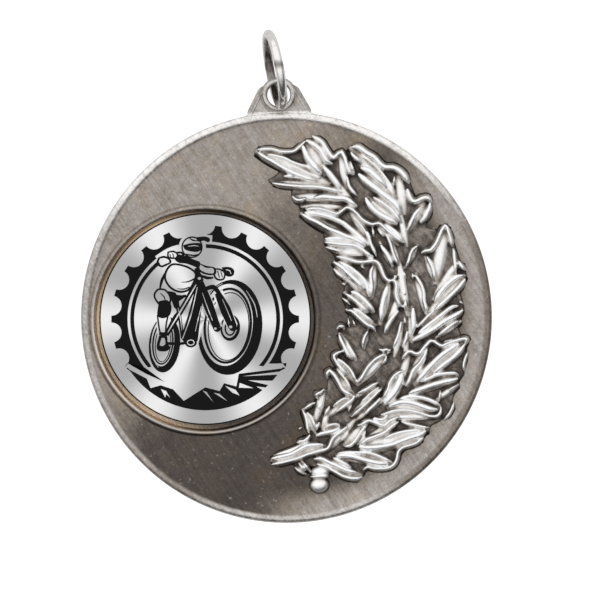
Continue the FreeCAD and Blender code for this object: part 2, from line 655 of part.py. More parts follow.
# ---------------------------------------------------------------- check and write
def check_states():
    """Stop if any object of the document failed."""
    for item in doc.Objects:
        for word in ("Invalid", "Error"):
            if word in item.State:
                raise RuntimeError("%s is in state %s" % (item.Name, item.State))


def write_parts(parts):
    os.makedirs("parts", exist_ok=True)
    for item in parts:
        shape = item.Shape
        if shape.isNull() or not shape.isValid():
            raise RuntimeError("%s has no valid shape" % item.Label)
        shape.exportStep("parts/%s.step" % item.Label)
        print("%-16s %d solids %10.3f mm3" % (item.Label, len(shape.Solids), shape.Volume))


fill_sheet()
adhesive_pad = round_plate("adhesive_pad", "adhesive_radius", "adhesive_thickness", ["recess_floor"])[0]
pieces = [casting(), adhesive_pad, insert_disc(), insert_artwork(), jump_ring()]
doc.recompute()
check_states()
write_parts(pieces)
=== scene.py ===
import math

import bpy
import numpy as np
from mathutils import Matrix, Vector


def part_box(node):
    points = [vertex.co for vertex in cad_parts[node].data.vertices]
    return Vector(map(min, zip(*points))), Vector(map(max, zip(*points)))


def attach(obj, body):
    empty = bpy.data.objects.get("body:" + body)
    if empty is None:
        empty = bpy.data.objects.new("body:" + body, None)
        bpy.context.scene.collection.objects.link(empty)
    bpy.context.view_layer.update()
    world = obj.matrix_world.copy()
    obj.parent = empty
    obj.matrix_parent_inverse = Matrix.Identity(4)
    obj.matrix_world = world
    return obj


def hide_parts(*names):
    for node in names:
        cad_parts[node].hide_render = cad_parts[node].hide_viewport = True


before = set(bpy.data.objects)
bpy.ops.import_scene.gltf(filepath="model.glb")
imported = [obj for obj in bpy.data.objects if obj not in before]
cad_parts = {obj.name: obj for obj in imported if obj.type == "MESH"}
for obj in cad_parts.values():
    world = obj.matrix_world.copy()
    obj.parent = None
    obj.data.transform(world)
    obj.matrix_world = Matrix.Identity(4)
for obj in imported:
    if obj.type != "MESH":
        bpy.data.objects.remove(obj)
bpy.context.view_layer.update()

MM = 0.001                      # every shape is drawn in millimetres, then made metres


def box_mm(node):
    """Lowest and highest corner of a CAD node, in millimetres."""
    low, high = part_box(node)
    return Vector(low) / MM, Vector(high) / MM


CASTING_HIGH = box_mm("medal_casting")[1]
INSERT_LOW, INSERT_HIGH = box_mm("insert_disc")
INK_HIGH = box_mm("insert_artwork")[1]
PAD_LOW = box_mm("adhesive_pad")[0]

DISC_RADIUS = CASTING_HIGH.x
INSERT_RADIUS = (INSERT_HIGH.x - INSERT_LOW.x) / 2
INSERT_CENTRE = ((INSERT_LOW.x + INSERT_HIGH.x) / 2, (INSERT_LOW.y + INSERT_HIGH.y) / 2)
RECESS_CENTRE = (-9.9, 0.0)
RECESS_FLOOR = PAD_LOW.z
WELL_RADIUS = 13.9              # blind hole in the disc, its edge hidden under the collar
FIELD_CENTRE_HEIGHT = 3.0
FIELD_EDGE_HEIGHT = 2.82
FIELD_RADIUS = DISC_RADIUS - 1.2
LUG_EYE = (0.0, 27.1)
HANGING_TURN = math.radians(-2)         # levels the view and the print, as the medal hangs a little left


# ---------------------------------------------------------------- bench tools
def deselect():
    if bpy.context.object and bpy.context.object.mode != "OBJECT":
        bpy.ops.object.mode_set(mode="OBJECT")
    bpy.ops.object.select_all(action="DESELECT")


def pick(*objects):
    """Select these objects, the first of them active."""
    deselect()
    for item in objects:
        item.select_set(True)
    bpy.context.view_layer.objects.active = objects[0]


def start_editing(item):
    pick(item)
    bpy.ops.object.mode_set(mode="EDIT")
    bpy.ops.mesh.select_all(action="SELECT")


def stop_editing():
    bpy.ops.object.mode_set(mode="OBJECT")


def draw_out(profile, centre):
    """Extrude the selected ring or face along a profile of (radius, height) points."""
    for (radius, height), (next_radius, next_height) in zip(profile, profile[1:]):
        step = (0, 0, next_height - height)
        bpy.ops.mesh.extrude_region_move(TRANSFORM_OT_translate={"value": step})
        grow = next_radius / radius
        middle = (centre[0], centre[1], next_height)
        bpy.ops.transform.resize(value=(grow, grow, 1), center_override=middle)


def turned_solid(name, profile, centre=(0, 0), sides=256):
    """Solid of revolution, flat at both ends, drawn out of a filled circle."""
    deselect()
    radius, height = profile[0]
    place = (centre[0], centre[1], height)
    bpy.ops.mesh.primitive_circle_add(vertices=sides, radius=radius, fill_type="NGON", location=place)
    item = bpy.context.object
    item.name = name
    start_editing(item)
    draw_out(profile, centre)
    close_mesh()
    return item


def turned_ring(name, section, centre=(0, 0), sides=256):
    """Ring of revolution round a hole: a circle drawn round its section and back to its start."""
    deselect()
    radius, height = section[0]
    place = (centre[0], centre[1], height)
    bpy.ops.mesh.primitive_circle_add(vertices=sides, radius=radius, location=place)
    item = bpy.context.object
    item.name = name
    start_editing(item)
    draw_out(section + section[:1], centre)
    close_mesh()
    return item


def close_mesh(gap=1e-5):
    """Merge the seams of the mesh being edited and turn its faces outwards."""
    bpy.ops.mesh.select_all(action="SELECT")
    bpy.ops.mesh.remove_doubles(threshold=gap)
    bpy.ops.mesh.normals_make_consistent(inside=False)
    stop_editing()


def apply_modifier(item, kind, **settings):
    modifier = item.modifiers.new(kind.lower(), kind)
    for key, value in settings.items():
        setattr(modifier, key, value)
    pick(item)
    bpy.ops.object.modifier_apply(modifier=modifier.name)


def combine(item, tool, operation):
    """Cut the tool away from the item, or weld it on; the tool is used up."""
    apply_modifier(item, "BOOLEAN", object=tool, operation=operation, solver="EXACT")
    bpy.data.objects.remove(tool)


def joined(*items):
    pick(*items)
    bpy.ops.object.join()
    return bpy.context.object


def made_mesh(item):
    """Turn a curve object into a mesh."""
    pick(item)
    bpy.ops.object.convert(target="MESH")
    return bpy.context.object


def new_curve(name, dimensions="3D"):
    curve = bpy.data.curves.new(name, "CURVE")
    curve.dimensions = dimensions
    item = bpy.data.objects.new(name, curve)
    bpy.context.collection.objects.link(item)
    return item


def add_path(curve, points, closed=False, radii=None):
    """Straight-run spline through (x, y) or (x, y, z) points."""
    spline = curve.splines.new("POLY")
    spline.points.add(len(points) - 1)
    for index, place in enumerate(points):
        height = place[2] if len(place) > 2 else 0.0
        spline.points[index].co = (place[0], place[1], height, 1.0)
        spline.points[index].radius = radii[index] if radii else 1.0
    spline.use_cyclic_u = closed


def smooth_path(points, step):
    """Points about a step apart on a smooth line through the given ones."""
    ends = [points[0]] + list(points) + [points[-1]]
    path = []
    for before, start, end, after in zip(ends, ends[1:], ends[2:], ends[3:]):
        count = max(1, round(math.dist(start, end) / step))
        for index in range(count):
            t = index / count
            path.append(tuple(
                0.5 * (2 * b + (c - a) * t + (2 * a - 5 * b + 4 * c - d) * t ** 2
                       + (3 * b - a - 3 * c + d) * t ** 3)
                for a, b, c, d in zip(before, start, end, after)))
    path.append(tuple(points[-1]))
    return path


def flat_plate(name, outlines, low, high, edge=0.0, shrink=0.0):
    """Plate with rounded edges, filled between its outlines, from one height to another."""
    item = new_curve(name, "2D")
    item.data.fill_mode = "BOTH"
    item.data.extrude = (high - low) / 2 - edge
    item.data.bevel_depth = edge
    item.data.bevel_resolution = 3
    item.data.offset = -edge - shrink
    for outline in outlines:
        add_path(item.data, outline, closed=True)
    item.location.z = (high + low) / 2
    item = made_mesh(item)
    pick(item)
    bpy.ops.object.transform_apply(location=True, rotation=True, scale=True)
    start_editing(item)
    close_mesh()
    return item


def circle_points(radius, centre=(0, 0), start=0, end=360, count=64):
    """Points on an arc, anticlockwise from one angle to another, in degrees."""
    full = abs(end - start) >= 360
    steps = count if full else count - 1
    angles = [math.radians(start + (end - start) * index / steps) for index in range(count)]
    return [(centre[0] + radius * math.cos(a), centre[1] + radius * math.sin(a)) for a in angles]


def finish_piece(item, body, material, angle=40):
    """Bring a piece drawn in millimetres to metres, with its place in its mesh."""
    pick(item)
    bpy.ops.object.transform_apply(location=True, rotation=True, scale=True)
    item.scale = (MM, MM, MM)
    bpy.ops.object.transform_apply(location=True, rotation=True, scale=True)
    bpy.ops.object.shade_smooth_by_angle(angle=math.radians(angle))
    item.data.materials.clear()
    item.data.materials.append(material)
    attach(item, body)


# ---------------------------------------------------------------- shader groups
def new_group(name, inputs, outputs):
    group = bpy.data.node_groups.new(name, "ShaderNodeTree")
    for socket, kind in inputs:
        group.interface.new_socket(name=socket, in_out="INPUT", socket_type=kind)
    for socket, kind in outputs:
        group.interface.new_socket(name=socket, in_out="OUTPUT", socket_type=kind)
    return group


class Nodes:
    """Short words for adding and joining shader nodes."""

    def __init__(self, tree):
        self.tree = tree

    def add(self, kind, inputs=None, **settings):
        node = self.tree.nodes.new("ShaderNode" + kind)
        for key, value in settings.items():
            setattr(node, key, value)
        for socket, value in (inputs or {}).items():
            self.feed(node, socket, value)
        return node

    def feed(self, node, socket, value):
        if isinstance(value, bpy.types.NodeSocket):
            self.tree.links.new(value, node.inputs[socket])
        else:
            node.inputs[socket].default_value = value

    def math(self, operation, first, second=0.0, clamp=False):
        node = self.add("Math", {0: first, 1: second}, operation=operation, use_clamp=clamp)
        return node.outputs[0]

    def times(self, first, second):
        return self.math("MULTIPLY", first, second)

    def sum(self, first, *others):
        for other in others:
            first = self.math("ADD", first, other)
        return first

    def distance(self, place, centre):
        """Distance from an upright line through the centre, seen from above."""
        spots = self.add("SeparateXYZ", {0: place})
        flat = self.add("CombineXYZ", {0: spots.outputs[0], 1: spots.outputs[1]}).outputs[0]
        inputs = {0: flat, 1: (centre[0], centre[1], 0)}
        return self.add("VectorMath", inputs, operation="DISTANCE").outputs["Value"]

    def even(self, tone):
        """Grey colour of a tone."""
        return self.add("CombineColor", {0: tone, 1: tone, 2: tone}).outputs[0]

    def mix(self, factor, first, second, blend="MIX"):
        node = self.add("Mix", data_type="RGBA", blend_type=blend)
        self.feed(node, 0, factor)
        self.feed(node, 6, first)
        self.feed(node, 7, second)
        return node.outputs[2]

    def blend_value(self, factor, first, second):
        node = self.add("Mix", data_type="FLOAT")
        self.feed(node, 0, factor)
        self.feed(node, 2, first)
        self.feed(node, 3, second)
        return node.outputs[0]

    def span(self, value, low, high, new_low=0.0, new_high=1.0):
        """Bring a value from one span to another, held at its ends."""
        inputs = {0: value, 1: low, 2: high, 3: new_low, 4: new_high}
        return self.add("MapRange", inputs).outputs[0]

    def smooth(self, value, low, high):
        """Rise softly from 0 to 1 between two values; low may be the larger."""
        node = self.add("MapRange", {0: value, 1: low, 2: high}, interpolation_type="SMOOTHSTEP")
        return node.outputs[0]

    def bump_shape(self, value, low, middle, high):
        """Rise to 1 at the middle value and fall again."""
        return self.times(self.smooth(value, low, middle), self.smooth(value, high, middle))

    def ramp(self, factor, stops):
        node = self.add("ValToRGB", {0: factor})
        elements = node.color_ramp.elements
        while len(elements) < len(stops):
            elements.new(1.0)
        for element, (place, colour) in zip(elements, stops):
            element.position = place
            element.color = grey(colour)
        return node.outputs[0]

    def noise(self, place, scale, detail=3.0, roughness=0.5):
        inputs = {"Vector": place, "Scale": scale, "Detail": detail, "Roughness": roughness}
        return self.add("TexNoise", inputs).outputs[0]

    def place_mm(self, turn=0.0, stretch=(1, 1, 1), shift=(0, 0, 0)):
        """Object coordinates in millimetres, turned and stretched."""
        coordinates = self.add("TexCoord").outputs["Object"]
        inputs = {"Vector": coordinates, "Scale": (1 / MM, 1 / MM, 1 / MM), "Location": shift}
        centred = self.add("Mapping", inputs).outputs[0]
        turned = self.add("Mapping", {"Vector": centred, "Rotation": (0, 0, turn)}).outputs[0]
        return self.add("Mapping", {"Vector": turned, "Scale": stretch}).outputs[0]


def grey(colour):
    """RGBA from one number or three."""
    if isinstance(colour, (int, float)):
        colour = (colour,) * 3
    return (*colour, 1.0)


def new_material(name):
    material = bpy.data.materials.new(name)
    material.use_nodes = True
    nodes = Nodes(material.node_tree)
    return material, nodes, material.node_tree.nodes["Principled BSDF"]


def new_metal(name):
    material, nodes, shader = new_material(name)
    shader.inputs["Metallic"].default_value = 1.0
    return material, nodes, shader


# ---------------------------------------------------------------- the oak spray's lines, in millimetres
# The raised ground that the leaves stand on, clockwise from the tip at the top left.
SPRAY_OUTLINE = [
    (-3.3, 20.4), (-2.6, 20.9), (-0.9, 21), (1.2, 20.9), (2.2, 21.2), (3, 22), (4.2, 22), (5.2, 21),
    (6, 20), (6.6, 19.9), (7.3, 20.2), (7.9, 20.1), (8.4, 20.8), (9.6, 20.7), (11.2, 19.8),
    (12.4, 18.8), (13.8, 18.2), (15, 17.5), (15.8, 16.4), (16.2, 15.2), (16.4, 14.6), (17.3, 14.5),
    (18.2, 13.9), (18.5, 13), (18.2, 12), (17.8, 10.6), (18.6, 10.4), (19.5, 11.1), (20.2, 11),
    (20.8, 9.5), (21.2, 8), (21.6, 6.5), (22.3, 5.3), (22.4, 4.4), (21.9, 3.6), (21.6, 2.4),
    (21.8, 1.2), (22, 0.2), (21.7, -0.8), (21.2, -2), (21.5, -2.9), (22.3, -3.3), (22.1, -5),
    (21.7, -6.5), (21.7, -7.8), (21.1, -8.6), (20.8, -9.3), (20.3, -10.4), (20, -11.6),
    (19.3, -12.8), (18.3, -13.6), (17.4, -14), (17, -14.7), (16.5, -15.5), (15.4, -16.4), (14, -17),
    (13.2, -18.1), (12.6, -18.9), (11.4, -19.3), (9.4, -19.2), (9, -19.8), (8.4, -20.2),
    (6.8, -20.2), (5.4, -19.6), (4.8, -19), (2.2, -18.6), (1.9, -19.2), (1.5, -19.5), (0.2, -18.4),
    (-0.3, -18), (-2.7, -18.1), (-2.8, -16.8), (-1.2, -16.3), (0.5, -15.6), (0.6, -15),
    (1.5, -14.8), (2, -14.4), (1.8, -13.5), (1.5, -12.2), (1.2, -11.1), (2.2, -10.6), (3, -10),
    (3, -9.4), (4.3, -8.6), (4.4, -7.6), (4.5, -6.6), (5.2, -6.3), (5.3, -5.6), (5.3, -4.8),
    (5.8, -4.4), (6.5, -4.1), (6.2, -3), (6, -2.1), (5.8, -1.6), (6.2, -1.1), (7, -1), (7.2, 0),
    (6.9, 0.8), (6.5, 1.8), (6.7, 2.8), (6.8, 3.5), (6.5, 4.3), (6, 5.4), (5.6, 6.4), (5.8, 7),
    (5.4, 7.7), (4.6, 8.5), (4.6, 9.4), (4.4, 10.4), (3, 11.5), (1.9, 12.6), (1.6, 13.4),
    (0.8, 14.3), (0.8, 15.3), (-0.8, 15.6), (-1.6, 16.1), (-2.2, 16.9), (-1.2, 17.4), (-0.4, 18),
    (-1.8, 19), (-3, 19.8),
]

# Low rounded lobes under the veins: tip x, tip y, root x, root y, width.
LOBES = {
    "top leaf": [
        (-3.1, 20.4, 5.9, 15.9, 2.1), (2.95, 21.5, 5.4, 17.0, 1.7), (7.15, 19.7, 7.9, 15.3, 1.2),
        (-1.2, 16.4, 5.6, 15.8, 1.1), (1.1, 14.6, 7.5, 14.3, 1.3), (2.2, 13.4, 7.3, 13.2, 0.9),
        (5.4, 17.7, 9.0, 13.0, 1.1)],
    "upper inner leaf": [
        (2.1, 12.7, 10.3, 7.8, 1.7), (8.0, 13.1, 10.6, 9.0, 1.5), (4.9, 9.2, 10.5, 7.2, 1.3),
        (5.9, 7.8, 10.1, 7.3, 0.8), (11.2, 11.1, 14.0, 8.2, 0.8)],
    "upper right leaf": [
        (8.4, 20.5, 13.9, 13.5, 2.0), (9.3, 17.2, 13.1, 14.9, 1.4), (10.2, 14.3, 14.7, 10.9, 1.6),
        (14.2, 17.1, 14.8, 11.9, 1.6), (17.4, 13.8, 15.0, 9.8, 1.9), (12.0, 11.0, 14.6, 8.4, 0.9),
        (14.0, 13.2, 15.0, 8.0, 1.0)],
    "outer right leaf": [
        (19.7, 10.6, 18.2, 3.3, 2.2), (17.1, 7.0, 18.2, 3.6, 1.0), (16.3, 8.4, 14.6, 5.4, 1.2),
        (15.9, 5.0, 17.0, -0.4, 1.1), (21.2, 6.3, 17.8, 1.4, 1.2)],
    "middle leaf": [
        (5.9, 6.7, 10.0, 2.0, 1.7), (10.9, 6.3, 10.4, 1.8, 1.3), (7.0, 2.9, 10.7, 0.1, 1.3),
        (12.7, 4.2, 11.3, -1.4, 1.5), (7.2, 0.8, 11.0, -1.4, 1.0), (14.2, 3.0, 11.9, -2.5, 1.1),
        (11.6, 8.9, 13.2, 5.5, 0.9), (12.8, 9.4, 14.0, 5.6, 0.8), (13.9, 6.6, 14.7, -0.4, 1.2)],
    "right leaf": [
        (21.9, 4.5, 16.2, -1.6, 1.7), (21.5, 0.3, 15.0, -3.6, 1.4), (21.3, -1.1, 18.0, -3.1, 0.8),
        (15.3, 0.9, 15.0, -3.6, 0.9), (14.0, -1.0, 12.9, -5.4, 1.2), (14.6, -2.2, 14.2, -5.6, 0.8)],
    "lower right leaf": [
        (21.8, -3.4, 15.1, -8.8, 1.9), (17.2, -3.6, 14.3, -9.0, 1.5), (20.8, -7.9, 14.4, -9.8, 1.5),
        (14.8, -4.8, 13.0, -9.6, 1.4), (14.1, -6.8, 11.4, -11.2, 1.7), (20.7, -8.8, 17.6, -10.8, 1.0)],
    "lower inner leaf": [
        (6.3, -2.0, 8.4, -5.7, 1.2), (9.9, -1.8, 9.2, -4.3, 0.7), (5.5, -4.8, 8.2, -8.4, 1.2),
        (4.8, -6.6, 8.0, -9.8, 1.4), (12.3, -4.5, 8.2, -8.6, 1.6), (4.3, -12.3, 8.1, -9.8, 1.2),
        (10.9, -8.3, 7.6, -10.2, 0.8), (11.4, -8.9, 7.3, -12.3, 1.2), (11.9, -9.8, 8.0, -12.8, 1.0)],
    "lower left leaf": [
        (1.5, -11.1, 3.1, -14.3, 1.2), (4.3, -8.8, 3.0, -13.0, 1.5), (4.9, -10.9, 3.7, -14.3, 0.9),
        (3.0, -14.5, 6.4, -13.5, 1.1)],
    "bottom leaf": [
        (18.4, -11.8, 11.8, -11.4, 1.9), (17.9, -12.7, 10.6, -12.5, 0.9), (16.9, -14.1, 8.2, -16.2, 1.8),
        (13.2, -12.9, 8.2, -15.8, 1.2), (9.5, -13.0, 6.3, -15.9, 1.4), (16.2, -15.2, 9.4, -16.6, 1.2)],
    "bottom left leaf": [
        (12.4, -18.2, 5.3, -16.9, 1.7), (8.6, -19.6, 2.8, -17.3, 1.7), (12.6, -18.6, 8.8, -17.6, 1.0)],
    "stem": [
        (-2.6, -17.4, 4.6, -15.7, 1.5), (4.4, -16.4, 8.0, -12.6, 1.3), (0.7, -15.2, 2.6, -14.6, 0.6),
        (0.4, -18.1, 1.8, -19.2, 0.7), (1.0, -17.2, 2.4, -19.0, 0.6)],
}

# Raised veins and lobe edges: width, level from 1 (low) to 3 (highest, worn bright and painted brightest),
# points along it.
VEINS = {
    "top leaf": [
        (0.35, 2, [(-2.9, 20.5), (-1.2, 20.55), (0, 20.2), (1.5, 20.15), (2.2, 20.6), (3.1, 21.4)]),
        (0.5, 3, [(-2.8, 20.2), (-2, 19.6), (-1, 19), (0, 18.35), (1, 17.75), (2, 17.25), (3.2, 16.8),
                  (4.1, 16.45)]),
        (0.35, 1, [(-1.8, 20), (0.4, 19.4), (1.3, 18.9), (2.3, 18.5), (3.2, 18.2), (4.2, 17.4), (5, 16.7)]),
        (0.25, 1, [(0.8, 18.6), (2, 18.1), (3, 17.6), (4.9, 16.6)]),
        (0.8, 3, [(2.7, 20.8), (3.2, 19.4), (4.0, 18.3), (4.9, 17.2)]),
        (0.6, 3, [(3.1, 21.5), (4, 20.9), (4.8, 20.2), (5.2, 19.5), (5.6, 18.8), (6.3, 18.4)]),
        (0.5, 2, [(3.8, 22), (5, 21.2), (5.5, 20.4), (6, 19.6), (6.4, 19.2), (7.0, 19.7), (7.4, 19.9),
                  (7.8, 19.0), (8.0, 18.2), (8.4, 17.3), (8.9, 17.0)]),
        (0.7, 2, [(5.0, 18.4), (5.9, 17.2), (6.6, 16.2), (7.3, 15.2)]),
        (0.6, 3, [(3.8, 14.4), (5, 14.5), (6.5, 14.3), (7.6, 14.2), (8.4, 13.7), (9.1, 13.1)]),
        (0.35, 3, [(-1.2, 16.4), (-0.3, 16.2), (1, 16), (2.5, 15.85), (4, 15.75), (5, 15.6), (6.2, 15.3),
                   (7.2, 14.9)]),
        (0.35, 2, [(0.2, 17.2), (1.8, 17.1), (3.2, 16.7), (4.2, 16.4)]),
        (0.35, 3, [(1.2, 14.8), (1.6, 14.3), (2.2, 14.2), (3, 14.45)]),
        (0.3, 3, [(2.7, 13.1), (4.3, 13.1), (5.4, 12.8), (6.6, 12.4), (7.3, 12.8), (7.8, 13.1),
                  (8.5, 12.8), (9.1, 12.2), (9.6, 11.6), (10.2, 11.2), (10.8, 10.95), (11.6, 11.05),
                  (12.2, 10.6), (12.8, 10), (13.6, 9.3), (14.5, 8.5)])],
    "upper inner leaf": [
        (0.5, 3, [(2.2, 12.6), (3.2, 11.9), (4.2, 11.4), (5.5, 10.6), (6.6, 10.1), (7.6, 9.6), (8.4, 9.3),
                  (9.2, 8.9), (9.9, 8.2)]),
        (0.6, 2, [(2.6, 12.7), (4.5, 12.4), (6, 11.9), (7.2, 11.3), (8, 10.6), (8.8, 9.9), (9.6, 9.1),
                  (10.3, 8.3)]),
        (0.3, 2, [(7.6, 10.8), (8.3, 10.3), (9, 9.6), (9.5, 9.1), (9.8, 8.6)]),
        (0.25, 1, [(8.4, 11.9), (9.2, 11.2), (9.9, 10.2), (10.3, 9.2), (10.5, 8.4)]),
        (0.5, 1, [(4.9, 9.4), (6.5, 9.4), (8, 9.1), (9, 8.9)]),
        (0.4, 3, [(4.9, 9.0), (6, 8.8), (7, 8.65), (8, 8.55), (8.8, 8.35), (9.5, 7.9), (10.1, 7.4),
                  (10.5, 7.1), (10.9, 7.0)]),
        (0.4, 1, [(5.0, 8.4), (6, 8.1), (7.0, 7.8), (7.3, 7.5)]),
        (0.35, 2, [(10.2, 10.2), (10.4, 9.3), (10.6, 8.5), (11, 7.6), (11.2, 7)]),
        (0.3, 1, [(10.8, 10.7), (11, 9.3)]),
        (0.3, 1, [(11.4, 10.5), (12.2, 9.3)])],
    "upper right leaf": [
        (0.4, 3, [(8.5, 19.9), (8.8, 19.4), (9.4, 18.8), (9.8, 18.3)]),
        (0.8, 3, [(9.6, 17.9), (10.6, 17.5), (11.4, 16.8), (12.1, 16.1), (12.7, 15.4)]),
        (0.6, 3, [(8.6, 20.4), (9.4, 20.4), (10.5, 19.6), (11.3, 19.1), (12, 18.3), (12.6, 17.85),
                  (13.6, 17.75), (14.4, 17.3), (15, 16.6), (15.5, 15.7)]),
        (0.35, 1, [(9.5, 19.6), (10.6, 18.8), (11.6, 17.9), (12.4, 16.9), (13.1, 15.8), (13.7, 14.6)]),
        (0.4, 1, [(9.6, 18.5), (10.8, 17.9), (11.6, 17.1), (12.4, 16.1), (13.1, 15.2), (13.8, 14.1)]),
        (0.8, 3, [(9.3, 17.2), (10.5, 16), (11.5, 15.2), (12.7, 14.2), (13.8, 13.2), (14.3, 12)]),
        (0.7, 3, [(10.1, 14.3), (10.4, 13.6), (11, 12.8), (11.7, 12.2), (12.5, 11.7), (13.2, 11.3),
                  (13.9, 10.8)]),
        (0.3, 1, [(10.6, 14), (11.5, 13.2), (12.4, 12.4), (13.2, 11.8), (13.9, 11.2)]),
        (0.35, 3, [(11, 14.3), (12, 13.6), (13, 12.8), (13.7, 12), (14.4, 11)]),
        (0.5, 2, [(12, 11), (12.9, 10.5), (13.6, 9.9), (14.3, 9), (14.7, 8.5)]),
        (0.3, 2, [(11.4, 11.1), (12.4, 10.2), (13.2, 9.4), (14, 8.7)]),
        (0.5, 3, [(15.2, 15.2), (15.4, 14.4), (15.8, 13.6), (16.3, 13.6), (17, 13.9), (17.7, 13.9),
                  (18.1, 13.2)]),
        (0.7, 3, [(17.9, 13.3), (17.8, 12.7), (17.5, 12.1), (17.2, 11.5), (16.6, 10.9)]),
        (0.45, 2, [(16.8, 12.9), (16.2, 12.2), (15.7, 11.4), (15.3, 10.5), (15.1, 10)]),
        (0.3, 1, [(13.7, 16.8), (13.6, 15.5)]),
        (0.35, 2, [(8, 16.9), (8.1, 15.9), (8.5, 15.2), (9.2, 14.4)]),
        (0.25, 1, [(8.4, 18.8), (8.7, 17.8), (9, 17.2)])],
    "middle strips": [
        (0.5, 2, [(11.7, 8.5), (12.2, 7.7), (12.7, 6.9), (13, 6.1), (13.1, 5.6)]),
        (0.3, 2, [(12.4, 9.8), (12.9, 8.7), (13.3, 7.2), (13.7, 6.2), (13.9, 5.8)]),
        (0.35, 2, [(16.3, 8.2), (15.7, 7.8), (15.3, 7.1), (15.1, 6.4), (14.7, 5.6)]),
        (0.4, 3, [(13.2, 4.7), (13.6, 4.3)]),
        (0.3, 2, [(15.5, 4.9), (15.5, 4.1)]),
        (0.5, 1, [(14.3, 5.2), (14.7, 4.2)])],
    "outer right leaf": [
        (0.45, 3, [(19.7, 10.7), (19.2, 9.9), (18.9, 9.2), (18.5, 8.4), (18.1, 7.9), (17.7, 7.55),
                   (17.1, 7.5), (16.6, 7.2)]),
        (0.35, 3, [(19.8, 10.6), (20.1, 9.4), (20.3, 8.6), (20.5, 7.8)]),
        (0.4, 1, [(20.5, 7.8), (20.6, 7.4), (20.7, 6), (20.8, 4.6)]),
        (0.45, 2, [(17.3, 6.9), (17.6, 6.3), (17.9, 5.6), (18.1, 4.9), (18.2, 3.8)]),
        (0.4, 3, [(21.2, 6.2), (21.4, 5.6), (22, 4.9)]),
        (0.4, 2, [(15.8, 4.7), (16.2, 4), (16.6, 3.2), (16.8, 2.3), (16.8, 1.4), (17, 0.5), (16.8, -0.2)])],
    "middle leaf": [
        (0.35, 3, [(6.3, 7.2), (7.2, 7), (8, 6.7), (8.8, 6.45), (9.6, 6.4), (10.4, 6.5), (11.1, 6.45),
                   (11.5, 6), (11.8, 5.3), (12, 4.7), (12.3, 4.2), (12.7, 4), (13.1, 4.1), (13.4, 3.8),
                   (13.5, 3.3), (13.4, 2.5), (13.5, 1.8), (13.8, 1.1), (14.2, 0.7)]),
        (0.55, 3, [(5.9, 6.6), (6.6, 6.1), (7.2, 5.6), (7.8, 5), (8.4, 4.4), (9, 3.8), (9.5, 3)]),
        (0.5, 2, [(6.5, 6.6), (7.3, 6.2), (8.2, 5.6), (9, 4.9), (9.5, 4.3), (9.9, 3.5), (10.2, 2.1)]),
        (0.4, 2, [(10.8, 6), (10.5, 5.4), (10.4, 4.6), (10.5, 3.6), (10.4, 2.6), (10.3, 2.1)]),
        (0.25, 1, [(9.2, 5.9), (9.8, 5.6)]),
        (0.5, 1, [(5.9, 5.8), (6.6, 5), (7.3, 4.3)]),
        (0.4, 3, [(6.9, 3.9), (7.3, 3.7)]),
        (0.4, 3, [(7.2, 2.7), (8, 2.1), (8.8, 1.4), (9.5, 0.7), (10, 0.2)]),
        (0.5, 3, [(7.9, 2.9), (8.6, 2.6), (9.3, 2), (9.9, 1.4), (10.4, 0.7), (10.7, 0.2)]),
        (0.3, 1, [(6.8, 2.2), (7.4, 1.7), (7.9, 1.2)]),
        (0.35, 3, [(7.3, 0.6), (7.9, 0.55), (8.4, 0.1), (8.9, -0.4), (9.4, -0.9), (9.9, -1.3),
                   (10.4, -1.5), (10.8, -2.2)]),
        (0.35, 2, [(8.1, 0.9), (8.8, 0.5), (9.4, 0), (10, -0.5), (10.6, -1)]),
        (0.7, 2, [(12.4, 3.5), (12.1, 2.5), (11.8, 1.5), (11.6, 0.5), (11.5, -0.9)]),
        (0.5, 2, [(13.7, 0.4), (13.1, -0.2), (12.5, -1), (12.1, -1.7), (11.8, -2.4)]),
        (0.4, 3, [(14.5, 1.7), (14.5, 1), (14.4, 0.3)]),
        (0.4, 2, [(14.5, 2.8), (14.4, 2.1)]),
        (0.7, 2, [(15.4, 0.7), (15.4, -0.5), (15.4, -1.5), (15.2, -2.6)]),
        (0.4, 1, [(14.3, -0.4), (14.4, -1.3)]),
        (0.4, 3, [(6, -1.7), (6.4, -1.3), (6.8, -1.3), (7, -1.8)]),
        (0.25, 1, [(7.5, -0.3), (7.6, -1.6)]),
        (0.25, 1, [(8, -0.5), (8.4, -1.5)])],
    "right leaf": [
        (0.7, 2, [(21.7, 4.4), (20.9, 4.2), (20.1, 3.7), (19.4, 3.1), (18.8, 2.4), (18.3, 1.6), (18.1, 1.1)]),
        (0.5, 3, [(21.9, 4), (21.3, 3.2), (20.5, 2.4), (19.6, 1.6), (18.7, 0.8), (18, 0.2)]),
        (0.3, 2, [(18, 0.2), (17.2, -0.4), (16.5, -1.1), (15.8, -1.8)]),
        (0.5, 2, [(21, 0.7), (20.2, 0.6), (19.4, 0.1), (18.5, -0.6), (17.5, -1.3), (16.7, -1.9),
                  (15.9, -2.5)]),
        (0.6, 3, [(21.5, 0.2), (20.8, -0.3), (20, -0.7), (19.2, -1.1), (18.3, -1.7), (17.3, -2.3),
                  (16.3, -2.8), (15.1, -3.4)]),
        (0.3, 2, [(21, 1.3), (21.5, 0.9)]),
        (0.5, 2, [(20.9, -1.1), (20, -1.6), (19.2, -2.2), (18.3, -2.8)]),
        (0.35, 3, [(13.8, -5.6), (14.2, -5.1), (14.6, -4.7), (15.1, -4.7), (15.5, -4.95), (16.1, -4.8),
                   (16.6, -4.2), (17, -3.8), (17.4, -3.45), (17.8, -3.5), (18.3, -3.9), (18.8, -4.1),
                   (19.3, -3.9), (20.2, -3.6), (21.2, -3.35), (21.8, -3.4), (21.5, -4.2)]),
        (0.4, 2, [(19, -3.6), (21.4, -3.4)]),
        (0.35, 1, [(13.9, -0.9), (13.6, -2.3), (13.2, -3.3), (12.8, -4.2)]),
